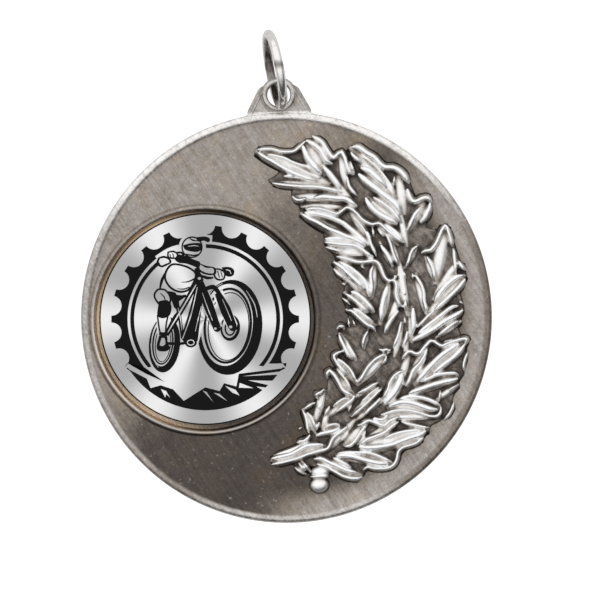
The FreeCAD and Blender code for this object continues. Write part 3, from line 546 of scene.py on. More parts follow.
        (0.3, 2, [(14.6, -2.1), (14.4, -3.2), (13.9, -4.2)]),
        (0.3, 2, [(11, -4.15), (11.5, -4.4), (12, -4.3), (12.4, -4.5), (12, -4.9)])],
    "lower right leaf": [
        (0.4, 2, [(17, -4.3), (16.6, -5.2), (16, -6.1), (15.2, -6.9), (14.9, -7.6), (14.5, -8.4),
                  (14.1, -8.9)]),
        (0.3, 1, [(16.9, -4.8), (16.6, -5.6), (16.2, -6.4), (15.6, -7.6)]),
        (0.7, 3, [(20.9, -3.9), (19.8, -4.5), (18.6, -5.3), (17.6, -6.2), (16.9, -6.9), (16.2, -7.7),
                  (15.5, -8.4)]),
        (0.6, 3, [(21.5, -4), (20.9, -4.8), (19.9, -5.7), (19, -6.3), (18.1, -7), (17.5, -7.4)]),
        (0.3, 1, [(21.9, -4.9), (21.5, -5.8), (21.3, -6.6), (21.4, -7.4)]),
        (0.4, 2, [(16, -8.4), (17, -8), (18, -7.6), (19.2, -7.45), (20.3, -7.5), (20.7, -7.9)]),
        (0.6, 3, [(20.6, -8.1), (20, -8.3), (18.8, -8.5), (17.5, -8.8), (16.2, -9.2), (15.2, -9.5),
                  (14.5, -9.75)]),
        (0.3, 1, [(20.5, -8.9), (19.8, -9.3), (19.1, -9.8)]),
        (0.3, 1, [(18.4, -9.4), (18.2, -10.9)]),
        (0.3, 1, [(20, -10.9), (19.7, -11.8), (19.2, -12.6), (18.6, -13.2)]),
        (1.0, 3, [(13.8, -7.1), (13.5, -8.2), (13, -9.2), (12.3, -10.1), (11.5, -11)]),
        (0.35, 3, [(14, -6.9), (13, -7.4), (12.3, -8.3), (12, -9.2), (11.3, -10.3)])],
    "lower inner leaf": [
        (0.45, 3, [(6.3, -2.2), (6.5, -2.9), (6.9, -3.8), (7.3, -4.7), (7.9, -5.4)]),
        (0.35, 1, [(7.1, -3.1), (7.6, -4), (8.1, -4.9), (8.4, -5.6)]),
        (0.35, 2, [(9.9, -1.9), (9.4, -2.7), (9.2, -3.4), (9.15, -4.1)]),
        (0.35, 3, [(6.8, -4.3), (6.1, -4.5), (5.6, -4.8), (5.6, -5.1), (6, -5.8), (6.5, -6.5),
                   (7.2, -7.3)]),
        (0.3, 2, [(5.9, -5.1), (6.8, -5.8), (7.6, -6.7), (8, -7.6), (8.2, -8.2)]),
        (0.35, 3, [(8.2, -8.3), (8.8, -7.7), (9.3, -6.9), (9.9, -6.1), (10.7, -5.4), (11.5, -5),
                   (12, -4.9)]),
        (0.35, 3, [(12, -5.1), (11.8, -5.6), (11.4, -6.1)]),
        (0.4, 3, [(4.7, -7.7), (4.7, -7), (5, -6.6), (5.3, -6.9), (5.8, -7.6), (6.2, -8.4), (6.5, -9),
                  (7, -9.4), (7.9, -9.8)]),
        (0.3, 1, [(5.8, -6.4), (6.4, -7.1), (7, -7.9), (7.6, -9.1)]),
        (0.4, 3, [(8, -9.8), (7.6, -10.3), (6.9, -10.8), (6.2, -11.3), (5.6, -11.7)]),
        (0.25, 2, [(7.3, -10), (6.6, -10.1), (5.9, -10.5), (5.2, -11.1)]),
        (0.4, 2, [(4.9, -10.9), (4.6, -11.4), (4.2, -12.2)]),
        (0.35, 3, [(8.3, -9.5), (9.3, -9.1), (10.2, -8.6), (10.9, -8.25)]),
        (0.25, 2, [(9, -10.4), (9.6, -9.8), (10.4, -9.2), (11, -8.8)]),
        (0.25, 2, [(8.5, -10.9), (9.2, -10.2), (10, -9.6)]),
        (0.3, 2, [(7.4, -12.4), (8.2, -11.7), (9.2, -10.9), (10.2, -10), (11.3, -9)]),
        (0.4, 2, [(8.9, -12.2), (9.8, -11.4), (10.6, -10.7), (11.1, -10.1)]),
        (0.3, 1, [(11.1, -10.9), (11.8, -9.9), (12, -9.3)]),
        (0.3, 1, [(7.6, -10.9), (7.2, -11.4), (7.1, -11.8)])],
    "lower left leaf": [
        (0.35, 3, [(4.3, -8.8), (3.9, -9.2), (3.3, -9.5), (3.4, -10.1)]),
        (0.3, 3, [(3.2, -10.4), (2.5, -10.7), (1.9, -11.1), (1.5, -11.2)]),
        (0.35, 1, [(1.5, -11.2), (1.8, -11.8), (2, -12.6), (2.1, -13.5), (2.3, -14.3)]),
        (0.3, 2, [(2.1, -11.5), (2.6, -12.3), (2.9, -13), (3.1, -13.8)]),
        (0.35, 2, [(3.6, -12.8), (3.3, -13.3), (3.1, -13.9)]),
        (0.3, 1, [(3.5, -10.4), (3.6, -11.6)]),
        (0.35, 3, [(1.0, -13.6), (1.4, -13.4)])],
    "bottom leaf": [
        (0.6, 3, [(12, -11.3), (12.8, -10.95), (13.8, -10.75), (15, -10.95), (16.2, -11.4),
                  (17.2, -11.75), (18, -11.8)]),
        (0.5, 2, [(13.3, -10.4), (14.5, -10.15), (15.8, -10.25), (17, -10.6), (17.9, -11.1),
                  (18.4, -11.5)]),
        (0.35, 2, [(18.4, -11.5), (18.3, -12.1), (17.9, -12.6), (17, -12.6), (16.2, -12.3), (15.2, -12),
                   (14, -11.75), (12.7, -11.8), (11.6, -12.1), (11, -12.2)]),
        (0.4, 3, [(10.1, -12.5), (10.8, -12.8), (11.4, -12.75), (11.9, -12.3)]),
        (0.35, 3, [(8.1, -13.4), (8.7, -13.3), (9.4, -12.9), (9.9, -12.95), (10.7, -13.3), (11.4, -13.55),
                   (12, -13.1), (12.6, -12.8), (13.3, -12.5)]),
        (0.4, 3, [(8.3, -15.9), (9.2, -15.2), (10.3, -14.8), (11.4, -14.4), (12.3, -13.7), (13.2, -13.1)]),
        (0.3, 2, [(13.4, -13.1), (14.2, -13.4), (15.4, -13.7), (16.2, -13.9), (17, -14)]),
        (0.4, 2, [(11.2, -15.2), (12.4, -14.7), (13.6, -14.4), (14.8, -14.3), (16, -14.25)]),
        (0.6, 3, [(8.2, -16), (9.3, -16.15), (10.8, -16.1), (12.2, -15.9), (13.4, -15.5), (14.6, -15.1),
                  (15.7, -14.8), (16.5, -14.3)]),
        (0.4, 1, [(10.5, -15.4), (12, -15.4), (13, -15.1)])],
    "bottom left leaf": [
        (0.35, 2, [(16.2, -15.1), (15.2, -15.8), (14.2, -16.1), (13.5, -16.3), (13, -16.8),
                   (12.85, -17.5), (12.6, -18.1), (12.2, -18.5), (11.4, -18.75), (10, -18.7),
                   (9.2, -18.5), (8.6, -18.9)]),
        (0.35, 2, [(5.5, -16.75), (6.8, -16.65), (8.2, -16.7), (9.5, -16.8), (10.6, -17.2),
                   (11.6, -17.7), (12.2, -18)]),
        (0.55, 3, [(5.4, -17), (6.5, -17), (7.6, -17.2), (8.8, -17.6), (10, -17.95), (11.1, -18.15),
                   (11.8, -18.2)]),
        (0.5, 3, [(2.7, -17.3), (3.6, -17.3), (4.4, -17.7), (5.4, -18.2), (6.4, -18.7), (7.3, -19),
                  (8, -19.15)]),
        (0.4, 2, [(3, -17.9), (4.2, -18.3), (5.2, -18.9), (6.2, -19.5), (7.2, -19.8), (8.2, -19.8),
                  (8.6, -19.6)]),
        (0.45, 2, [(5, -17.2), (5.8, -17.6), (6.6, -18.1), (7.3, -18.5)])],
    "stem": [
        (0.5, 3, [(-2.5, -17.1), (-1.4, -16.9), (0, -16.6), (1, -16.1), (2, -15.65), (3.2, -15.6),
                  (4, -15.6)]),
        (0.35, 1, [(-2.3, -16.8), (-1, -16.4), (0.2, -16), (1.4, -15.5), (2.2, -15.2)]),
        (0.35, 3, [(-2.5, -17.8), (-1.2, -17.6), (0.2, -17.3), (1.2, -17), (2, -16.7), (3.2, -16.4),
                   (4.4, -16.1), (4.8, -15.5), (5.1, -14.9), (5.7, -14.4), (6.4, -13.9), (7, -13.4)]),
        (0.4, 3, [(0.7, -15.3), (1, -15.1), (1.6, -15.1), (2.1, -14.7), (2.4, -14.3)]),
        (0.5, 3, [(3, -14.5), (4, -14.2), (5.2, -14), (6, -13.6)]),
        (0.25, 2, [(3.9, -13.7), (4.6, -13.3), (5.4, -13.15), (6, -13.3), (6, -13.7)]),
        (0.4, 2, [(6.4, -15.9), (7.2, -15.8), (7.8, -15.3), (8.3, -14.6), (8.8, -13.9), (9.4, -13.3)]),
        (0.3, 1, [(8, -15.9), (8.6, -15.2), (9.2, -14)]),
        (0.4, 1, [(6.1, -15.3), (6.7, -14.6), (7.1, -13.8)]),
        (0.3, 2, [(0.8, -17.6), (1.2, -18.2), (1.7, -18.8)]),
        (0.3, 3, [(1.4, -17.6), (1.8, -18.2), (2.2, -18.8)]),
        (0.35, 1, [(0.3, -18.2), (0.9, -18.7), (1.5, -19.2)])],
}


# ---------------------------------------------------------------- the printed drawing
# In millimetres from the insert's centre. Each layer adds ink, then clears its lights from all ink so far.
def oval(x, y, half_width, half_height, lean=0.0, count=48):
    """Points round an oval whose top leans to the right by an angle in degrees."""
    turn = math.radians(lean)
    points = []
    for across, up in circle_points(1.0, count=count):
        across *= half_width
        up *= half_height
        points.append((x + across * math.cos(turn) + up * math.sin(turn),
                       y - across * math.sin(turn) + up * math.cos(turn)))
    return points


def rounded(points, step=0.25):
    """Closed smooth outline through the points."""
    ring = list(points) + list(points[:1])
    return smooth_path(ring, step)[:-1]


def brushed_line(points, start, middle=None, end=None):
    """Outline of a line drawn with a pen whose width may change along it."""
    middle = start if middle is None else middle
    end = start if end is None else end
    path = smooth_path(points, 0.3)
    left, right = [], []
    for index, here in enumerate(path):
        before = path[max(index - 1, 0)]
        after = path[min(index + 1, len(path) - 1)]
        run = math.dist(before, after) or 1.0
        side = (-(after[1] - before[1]) / run, (after[0] - before[0]) / run)
        t = index / (len(path) - 1)
        width = start + (middle - start) * 2 * t if t < 0.5 else middle + (end - middle) * (2 * t - 1)
        left.append((here[0] + side[0] * width / 2, here[1] + side[1] * width / 2))
        right.append((here[0] - side[0] * width / 2, here[1] - side[1] * width / 2))
    return left + right[::-1]


def oval_line(x, y, half_width, half_height, lean, width, shift=(0, 0)):
    """Two outlines that leave an oval line between them, thicker on the side away from the shift."""
    outer = oval(x, y, half_width, half_height, lean)
    inner = oval(x + shift[0], y + shift[1], half_width - width, half_height - width, lean)
    return [outer, inner]


def chainring_outline():
    """Toothed ring over the top, open at the foot, its left end drawn out to a point."""
    teeth, hollow, reach, tip = 22, 1.22, 11.5, 11.42
    half_gap = math.degrees(math.acos((reach ** 2 + tip ** 2 - hollow ** 2) / (2 * reach * tip)))
    outer = []
    for number in range(7, -8, -1):
        middle = 90 - number * 360 / teeth
        centre = circle_points(reach, start=middle, end=middle, count=2)[0]
        scoop = circle_points(hollow, centre, middle + 262, middle + 98, 13)
        outer.append(circle_points(tip, start=middle - half_gap, end=middle, count=2)[0])
        outer += [point for point in scoop if math.hypot(*point) < tip]
        outer.append(circle_points(tip, start=middle + half_gap, end=middle, count=2)[0])
    right_foot = [(9.9, -5.35)]
    left_foot = [(-9.45, -5.35), (-7.2, -6.65), (-4.95, -7.65)]
    inner = circle_points(9.45, (0, 0), 218, -35, 70)
    return right_foot + outer + left_foot + inner


HILLS = [(-9.6, -5.95), (-7.1, -7.25), (-6.65, -8.4), (-5.4, -8.05), (-3.9, -8.55), (-2.6, -9.95), (0, -8.3),
         (1.75, -8.75), (2.3, -7.8), (3.8, -8.2), (4.1, -6.65), (9.8, -5.95)]
GROUND_RADIUS = 11.1


def hills_outline():
    start = math.degrees(math.atan2(HILLS[-1][1], HILLS[-1][0]))
    end = math.degrees(math.atan2(HILLS[0][1], HILLS[0][0]))
    return HILLS + circle_points(GROUND_RADIUS, (0, 0), start - 0.5, end + 0.5, 40)


HILL_LIGHTS = [
    [(-5.4, -8.5), (-4.75, -8.75), (-4.25, -9.6), (-4.75, -9.1), (-4.85, -9.55)],
    [(-0.3, -8.7), (0.15, -8.85), (1.0, -10.1)], [(1.0, -8.95), (1.75, -9.1), (2.7, -10.0)],
    [(2.4, -8.1), (3.7, -8.6), (4.2, -9.3), (3.3, -8.95)], [(4.2, -7.75), (5.9, -8.4), (4.1, -8.35)],
    [(4.5, -6.95), (9.3, -6.35), (9.0, -6.75)], [(5.2, -7.45), (8.4, -7.5), (8.0, -8.1)],
    [(6.2, -8.2), (7.6, -8.35), (7.2, -8.75)]]

FRONT_WHEEL = (3.0, -1.0, 3.95, 5.8, 5)
REAR_WHEEL = (-4.95, -3.05, 1.9, 3.45, 5)
SHIRT = [(-3.1, 6.75), (-1.9, 6.35), (-1.05, 5.6), (-1.2, 4.6), (-1.9, 3.5), (-3.1, 3.2), (-4.3, 3.75),
         (-5.0, 4.9), (-4.8, 6.0), (-4.1, 6.75)]
SHORTS = [(-4.9, 3.7), (-4.3, 3.1), (-4.1, 2.2), (-4.5, 1.6), (-5.3, 1.5), (-5.9, 2.0), (-6.3, 2.9),
          (-5.8, 3.7)]


PEN_WEIGHT = 1.3                # how much heavier the pen draws than the widths given


def outlined(points, line):
    """A smooth closed shape drawn as a line: the outline and a smaller one inside it."""
    line *= PEN_WEIGHT
    x = sum(point[0] for point in points) / len(points)
    y = sum(point[1] for point in points) / len(points)
    inside = []
    for point in points:
        reach = math.dist(point, (x, y))
        keep = (reach - line) / reach
        inside.append((x + (point[0] - x) * keep, y + (point[1] - y) * keep))
    return [rounded(points), rounded(inside)]


def pen(points, *widths):
    """A pen line of the widths given at its start, middle and end."""
    return [brushed_line(points, *widths)]


def heavy(points, *widths):
    return pen(points, *(width * PEN_WEIGHT for width in widths))


def wheel_layer():
    """Both wheels, with the lights on their tyres and all that is drawn over them left clear."""
    x, y, half, tall, lean = FRONT_WHEEL
    rear_x, rear_y, rear_half, rear_tall, rear_lean = REAR_WHEEL
    ink = [
        oval_line(rear_x, rear_y, rear_half, rear_tall, rear_lean, 0.5, (-0.22, 0.25)),
        oval_line(rear_x - 0.2, rear_y + 0.15, rear_half - 0.6, rear_tall - 0.78, rear_lean, 0.2),
        oval_line(rear_x - 0.18, rear_y + 0.1, rear_half - 0.92, rear_tall - 1.14, rear_lean, 0.11),
        oval_line(x, y, half, tall, lean, 0.8, (-0.36, 0.3)),
        oval_line(x - 0.25, y + 0.2, half - 1.0, tall - 1.15, lean, 0.3),
        oval_line(x - 0.15, y + 0.1, half - 1.42, tall - 1.6, lean, 0.13),
        oval_line(x + 0.05, y - 0.05, 1.2, 1.6, lean, 0.3, (-0.08, 0.06)),
        oval_line(x + 0.05, y - 0.05, 0.7, 1.0, lean, 0.2)]
    clear = [
        pen([(-6.62, -3.0), (-6.4, -4.6), (-5.7, -5.9)], 0.06, 0.12, 0.05),
        pen([(-0.55, -2.2), (-0.5, 0.6), (0.7, 3.3), (2.1, 4.35)], 0.05, 0.13, 0.05),
        pen([(5.0, 3.5), (6.0, 1.8), (6.35, 0.2)], 0.05, 0.14, 0.05),
        [[(-1.3, 5.2), (-0.2, 5.0), (0.3, 1.5), (-0.9, -3.3), (-3.0, -3.3), (-2.4, 1.0)]],
        pen([(-0.65, 4.5), (0.35, 1.8), (1.5, -1.1)], 1.35),
        pen([(1.5, 3.3), (2.4, 1.2), (3.35, -0.9)], 1.35),
        [rounded([(-5.9, 0.4), (-4.3, 0.5), (-4.4, -2.6), (-5.7, -2.7)])]]
    return ink, clear


def frame_layer():
    """Frame, fork, saddle and crank, with their lights and the rider's clothes left clear."""
    ink = [
        [[(-0.95, 4.7), (-0.2, 4.4), (-0.25, 2.6), (-0.5, 0.8), (-0.9, -2.6), (-1.5, -3.2), (-2.4, -3.05),
          (-2.95, -2.3), (-2.05, 0.6)]],
        heavy([(-0.8, 4.9), (-2.6, 1.6), (-4.75, -1.9)], 0.52),
        heavy([(-4.7, -1.7), (-3.6, 0.4), (-2.9, 0.9)], 0.32),
        heavy([(-3.5, 2.2), (-3.1, 0.2), (-2.75, -2.3)], 0.45, 0.32, 0.32),
        heavy([(-4.7, -2.95), (-3.2, -3.0), (-2.2, -2.85)], 0.26),
        [oval(-1.75, -2.85, 0.74, 0.6)],
        [rounded([(-4.0, 3.05), (-2.9, 2.9), (-2.3, 3.0), (-2.3, 2.75), (-3.0, 2.3), (-3.6, 1.9),
                  (-3.9, 2.3)])],
        heavy([(-0.65, 4.55), (0.35, 1.8), (1.45, -1.1)], 0.62, 0.95, 0.7),
        heavy([(1.5, 3.2), (2.4, 1.3), (3.35, -0.95)], 0.55, 1.0, 0.8),
        heavy([(-0.1, 3.6), (1.0, 3.9), (1.7, 3.1)], 0.35, 0.45, 0.4),
        [oval(1.45, -1.2, 0.42, 0.36)],
        [oval(3.4, -1.05, 0.48, 0.42)],
        [rounded([(-4.5, 3.4), (-3.6, 3.2), (-3.4, 2.3), (-3.3, 1.4), (-3.7, 1.3), (-4.1, 2.3)])]]
    clear = [
        pen([(-0.95, 3.9), (-1.7, 0.6), (-2.75, -2.4)], 0.08, 0.14, 0.1),
        pen([(-0.45, 1.6), (-0.95, -0.4), (-1.2, -1.5)], 0.06, 0.13, 0.05),
        pen([(-1.1, 4.2), (-2.7, 1.45), (-4.55, -1.6)], 0.1, 0.2, 0.1),
        pen([(-3.3, 1.4), (-3.0, 0.0), (-2.85, -1.4)], 0.05, 0.12, 0.05),
        oval_line(-1.75, -2.85, 0.46, 0.36, 0, 0.1),
        pen([(-0.35, 3.2), (0.25, 1.5), (0.9, -0.2)], 0.06, 0.12, 0.06),
        pen([(2.1, 2.4), (2.75, 0.9), (3.2, -0.2)], 0.05, 0.1, 0.05),
        [oval(1.25, -1.15, 0.16, 0.14)],
        [oval(3.1, -0.95, 0.2, 0.17)],
        outlined(SHORTS, 0.1)[:1],
        outlined(SHIRT, 0.1)[:1]]
    return ink, clear


def rider_layer():
    """Rider with no face, the hills and the border line, with their own lights."""
    ink = [
        outlined(SHORTS, 0.18),
        heavy([(-5.5, 3.2), (-5.0, 2.7), (-4.8, 2.1)], 0.05, 0.12, 0.05),
        [rounded([(-5.6, 2.2), (-4.6, 2.3), (-4.1, 1.6), (-4.3, 0.5), (-5.1, 0.1), (-5.8, 0.4),
                  (-5.75, 1.4)])],
        heavy([(-5.8, 0.5), (-5.65, -0.8), (-5.45, -1.8)], 0.15),
        heavy([(-4.5, 0.5), (-4.75, -0.7), (-4.8, -1.8)], 0.15),
        heavy([(-5.6, -1.75), (-4.6, -1.85)], 0.3),
        [rounded([(-5.6, -2.0), (-4.7, -2.0), (-4.55, -2.9), (-4.3, -3.5), (-4.7, -3.9), (-5.7, -3.85),
                  (-5.9, -3.2)])],
        outlined(SHIRT, 0.2),
        heavy([(-4.9, 5.6), (-5.3, 4.6), (-5.5, 3.7)], 0.12, 0.3, 0.14),
        heavy([(-1.3, 4.9), (-2.1, 4.55), (-2.9, 4.5)], 0.16, 0.12, 0.04),
        heavy([(-1.9, 3.9), (-2.6, 3.65), (-3.4, 3.7)], 0.12, 0.12, 0.04),
        [rounded([(-3.3, 7.9), (-2.4, 7.7), (-1.5, 7.3), (-0.6, 6.9), (-0.8, 6.2), (-1.3, 6.4),
                  (-2.3, 6.75), (-3.2, 6.85), (-3.7, 7.3)])],
        outlined([(-5.7, 7.5), (-5.0, 7.7), (-4.3, 7.4), (-4.1, 6.9), (-4.7, 6.5), (-5.4, 6.3),
                  (-5.95, 6.8)], 0.2),
        outlined([(-4.6, 8.2), (-3.9, 8.35), (-3.3, 8.0), (-3.3, 7.4), (-3.9, 7.3), (-4.6, 7.5)], 0.17),
        heavy([(-4.3, 7.9), (-4.15, 7.4)], 0.09),
        heavy([(-3.95, 8.0), (-3.8, 7.45)], 0.09),
        heavy([(-3.5, 8.05), (-2.9, 8.1), (-2.6, 7.7)], 0.2),
        outlined([(-0.9, 6.9), (0.1, 6.5), (1.2, 6.25), (1.3, 5.5), (0.5, 5.35), (-0.4, 5.6),
                  (-0.9, 6.1)], 0.2),
        heavy([(-0.6, 5.3), (0.3, 5.0), (1.0, 5.05)], 0.2, 0.3, 0.15),
        outlined([(1.2, 6.2), (2.0, 6.1), (2.5, 5.6), (2.3, 4.8), (1.5, 4.7), (1.0, 5.3)], 0.17),
        heavy([(1.5, 5.9), (1.75, 5.0)], 0.09),
        heavy([(1.9, 5.85), (2.1, 5.1)], 0.09),
        [rounded([(2.0, 6.3), (2.9, 6.35), (3.5, 6.0), (3.45, 5.35), (2.9, 5.15), (2.4, 5.4)])],
        heavy([(-1.15, 6.2), (-0.8, 5.4), (-0.55, 4.6)], 0.3, 0.5, 0.6),
        oval_line(-1.6, 8.75, 1.3, 1.32, 10, 0.18),
        [rounded([(-2.7, 9.0), (-1.6, 9.25), (-0.5, 9.2), (-0.35, 8.6), (-0.9, 8.2), (-1.8, 8.25),
                  (-2.5, 8.5)])],
        [rounded([(-1.2, 9.95), (0.0, 10.05), (0.6, 9.75), (0.4, 9.35), (-0.2, 9.55), (-0.8, 9.4)])],
        heavy([(-2.35, 7.9), (-1.5, 7.75), (-0.7, 7.85)], 0.14),
        heavy([(-2.0, 9.9), (-1.5, 9.6), (-0.9, 9.5)], 0.06, 0.16, 0.06),
        [hills_outline()],
        [circle_points(INSERT_RADIUS - 0.02, count=200), circle_points(INSERT_RADIUS - 0.18, count=200)]]
    clear = [
        [rounded([(-5.3, -2.3), (-4.95, -2.3), (-4.85, -3.0), (-5.2, -3.3), (-5.55, -3.2)])],
        pen([(2.5, 6.0), (3.0, 5.9), (3.15, 5.5)], 0.06, 0.14, 0.06),
        [oval(-0.7, 4.95, 0.2, 0.17)],
        pen([(-2.1, 8.85), (-1.3, 8.95), (-0.75, 8.85)], 0.05, 0.14, 0.05)]
    clear += [[light] for light in HILL_LIGHTS]
    return ink, clear


def ring_layer():
    """Chainring and circle, with a pale halo kept clear round the rider and the wheels."""
    circle = circle_points(9.12, (0, 0), 220, -39, 90) + circle_points(8.65, (0, 0), -41, 222, 90)
    clear = [
        [oval(-1.55, 8.8, 1.65, 1.65)],
        [oval(-1.3, 10.6, 1.55, 1.9)],
        pen([(-1.2, 9.9), (0.85, 9.75)], 0.9),
        pen([(-5.6, 6.9), (-4.2, 7.8), (-3.0, 8.2)], 1.8)]
    for x, y, half_width, half_height, lean in (REAR_WHEEL, FRONT_WHEEL):
        clear.append([oval(x, y, half_width + 0.25, half_height + 0.25, lean)])
    return [[chainring_outline()], [circle]], clear


def printed_ink():
    """The drawing as one thin layer: each part of it is added, then its lights are cut clear."""
    low, high = INSERT_HIGH.z - 0.02, INK_HIGH.z
    sink = 0.0                  # each shape lies a hair lower than the one before, so no faces coincide
    layer = None
    for ink, clear in (ring_layer(), wheel_layer(), frame_layer(), rider_layer()):
        shapes = [layer] if layer else []
        for outlines in ink:
            sink += 0.0001
            shapes.append(flat_plate("insert_ink", outlines, low - sink, high - sink))
        layer = joined(*shapes)
        cutters = []
        for outlines in clear:
            sink += 0.0001
            cutters.append(flat_plate("light", outlines, low - 0.2 - sink, high + 0.2 + sink))
        cutter = joined(*cutters)
        apply_modifier(layer, "BOOLEAN", object=cutter, operation="DIFFERENCE", solver="EXACT", use_self=True)
        bpy.data.objects.remove(cutter)
    turn = Matrix.Rotation(HANGING_TURN, 4, "Z")
    layer.data.transform(Matrix.Translation((*INSERT_CENTRE, 0)) @ turn)
    return layer


# ---------------------------------------------------------------- the casting
def dome_height(radius):
    """Height of the domed field at a distance from the disc's centre."""
    rise = FIELD_CENTRE_HEIGHT - FIELD_EDGE_HEIGHT
    return FIELD_CENTRE_HEIGHT - rise * (radius / FIELD_RADIUS) ** 2


def disc_body():
    """Disc with its border groove at the back, its rolled rim and its domed field, cut for the insert."""
    rim_top = 3.0
    edge_round = circle_points(0.5, (DISC_RADIUS - 0.5, rim_top - 0.5), 0, 90, 8)
    foot_round = circle_points(0.3, (DISC_RADIUS - 0.3, 0.3), -90, 0, 5)
    groove = [(21.4, 0), (21.6, 0.2), (21.8, 0.25), (22.0, 0.2), (22.2, 0)]
    bead = [(24.35, 2.99), (24.2, 2.95), (24.08, 2.88), (23.95, 2.82)]
    field = [(radius, dome_height(radius)) for radius in (23.7, 21, 17, 13, 9, 5, 1)]
    disc = turned_solid("medal_disc", groove + foot_round + edge_round + bead + field, sides=360)
    well = [(WELL_RADIUS, RECESS_FLOOR - 0.3), (WELL_RADIUS, 5)]
    combine(disc, turned_solid("well", well, RECESS_CENTRE, 200), "DIFFERENCE")
    return disc


def recess_collar():
    """Floor, wall and rolled lip of the recess that holds the insert."""
    floor = RECESS_FLOOR
    section = [(12.0, floor - 0.4), (12.0, floor + 0.45), (13.18, floor + 0.45), (13.28, floor + 0.55),
               (13.35, 2.7), (13.42, 2.88), (13.52, 3.0), (13.66, 3.08), (13.8, 3.07), (13.95, 2.99),
               (14.08, 2.9), (14.2, 2.84), (14.45, 2.78), (14.45, floor - 0.4)]
    return turned_ring("recess_collar", section, RECESS_CENTRE, 240)


def hanging_lug():
    """Arched lug whose straight sides run down into the disc's edge, with a beaded eye through it."""
    arch, half_width, root = 2.175, 3.9, 24.3
    reach = math.hypot(half_width, LUG_EYE[1] - root)
    side = math.degrees(math.acos(arch / reach) - math.atan2(LUG_EYE[1] - root, half_width))
    outline = circle_points(arch, LUG_EYE, side, 180 - side, 25)
    flare = [(3.35, 25.35), (3.7, 24.95), (4.3, 24.6), (4.2, 23.5), (3.3, 22.5)]
    outline += [(-x, y) for x, y in flare] + flare[::-1]
    eye = circle_points(1.42, LUG_EYE, count=48)
    plate = flat_plate("hanging_lug", [outline, eye], 1.5, 2.72, edge=0.3)
    bead = circle_points(0.33, (1.72, 2.62), count=12)
    rim = turned_ring("eye_bead", bead, LUG_EYE, 64)
    flanks = []
    for sign in (-1, 1):
        top = math.radians(90 + sign * (90 - side) * 0.9)
        start = (LUG_EYE[0] + 1.95 * math.cos(top), LUG_EYE[1] + 1.95 * math.sin(top))
        low = (-sign * (half_width - 0.25), root + 0.1)
        middle = ((start[0] + low[0]) / 2, (start[1] + low[1]) / 2)
        flanks.append((2.79, [start, middle, low]))
    return joined(plate, rim, ridges("flank", 0.3, flanks, 0.9, 0.1, 0.4, foot=0.5))


PLATEAU_HEIGHT = 3.28
SPRAY_ROOT = 2.2                # the plate starts inside the disc
FUSED_DETAIL = 0.08             # finest detail left where shapes are fused
TRIM_HEIGHT = 2.5               # fused shapes are cut flat here, inside the disc
LOBE_HEIGHT = 3.75
VEIN_HEIGHTS = {1: 3.88, 2: 4.06, 3: 4.28}
MOST_TRIANGLES = 190000
VEIN_FULLNESS = 1.0
FOOT = 1.5                      # how deep the ridges stand in the metal under them


def arch_section(name, width, side_slope, foot):
    """Section of a ridge: a rounded top at the origin on sloping sides down to its foot."""
    half = width / 2
    top = circle_points(half, (0, -half), 20, 160, 9)
    spread = half + side_slope * foot
    item = new_curve(name, "2D")
    add_path(item.data, [(spread, -foot)] + top + [(-spread, -foot)], closed=True)
    return item


def ridges(name, width, lines, side_slope=0.3, end_drop=0.35, blunt=0.5, foot=FOOT):
    """Ridges of one width, each falling and narrowing to its two ends."""
    section = arch_section(name + "_section", width, side_slope, foot)
    item = new_curve(name)
    item.data.bevel_mode = "OBJECT"
    item.data.bevel_object = section
    item.data.use_fill_caps = True
    item.data.twist_mode = "Z_UP"
    for height, points in lines:
        path = smooth_path(points, 0.3)
        length = sum(math.dist(a, b) for a, b in zip(path, path[1:]))
        run = 0.0
        spots, radii = [], []
        for before, here in zip([path[0]] + path, path):
            run += math.dist(before, here)
            inset = min(run, length - run) / (blunt + width)
            fullness = math.sin(min(1.0, inset) * math.pi / 2)
            spots.append((here[0], here[1], height - end_drop * (1 - fullness)))
            radii.append(0.45 + 0.55 * fullness)
        add_path(item.data, spots, radii=radii)
    item = made_mesh(item)
    bpy.data.objects.remove(section)
    return item


def oak_spray():
    """Leaves, veins and stem fused into one raised piece."""
    ground = flat_plate("oak_spray", [SPRAY_OUTLINE], SPRAY_ROOT, PLATEAU_HEIGHT, edge=0.3, shrink=0.3)
    parts = [ground]
    lobes = {}
    for leaf in LOBES.values():
        for tip_x, tip_y, root_x, root_y, width in leaf:
            line = [(tip_x, tip_y), ((tip_x + root_x) / 2, (tip_y + root_y) / 2), (root_x, root_y)]
            lobes.setdefault(round(width * 0.95, 1), []).append((LOBE_HEIGHT, line))
    for width, lines in lobes.items():
        parts.append(ridges("lobes", width, lines, 0.5, 0.3, 1.2))
    veins = {}
    for leaf in VEINS.values():
        for width, level, points in leaf:
            veins.setdefault(width * VEIN_FULLNESS, []).append((VEIN_HEIGHTS[level], points))
    for width, lines in veins.items():
        parts.append(ridges("veins", width, lines, 0.3))
    spray = joined(*parts)
    start_editing(spray)
    close_mesh()
    apply_modifier(spray, "REMESH", mode="VOXEL", voxel_size=FUSED_DETAIL)
    apply_modifier(spray, "SMOOTH", factor=0.5, iterations=3)
    start_editing(spray)
    bpy.ops.mesh.bisect(plane_co=(0, 0, TRIM_HEIGHT), plane_no=(0, 0, 1), use_fill=True, clear_inner=True)
    close_mesh()
    faces = len(spray.data.polygons) * 2
    apply_modifier(spray, "DECIMATE", ratio=min(1.0, MOST_TRIANGLES / faces))
    start_editing(spray)
    close_mesh(gap=0.001)
    return spray


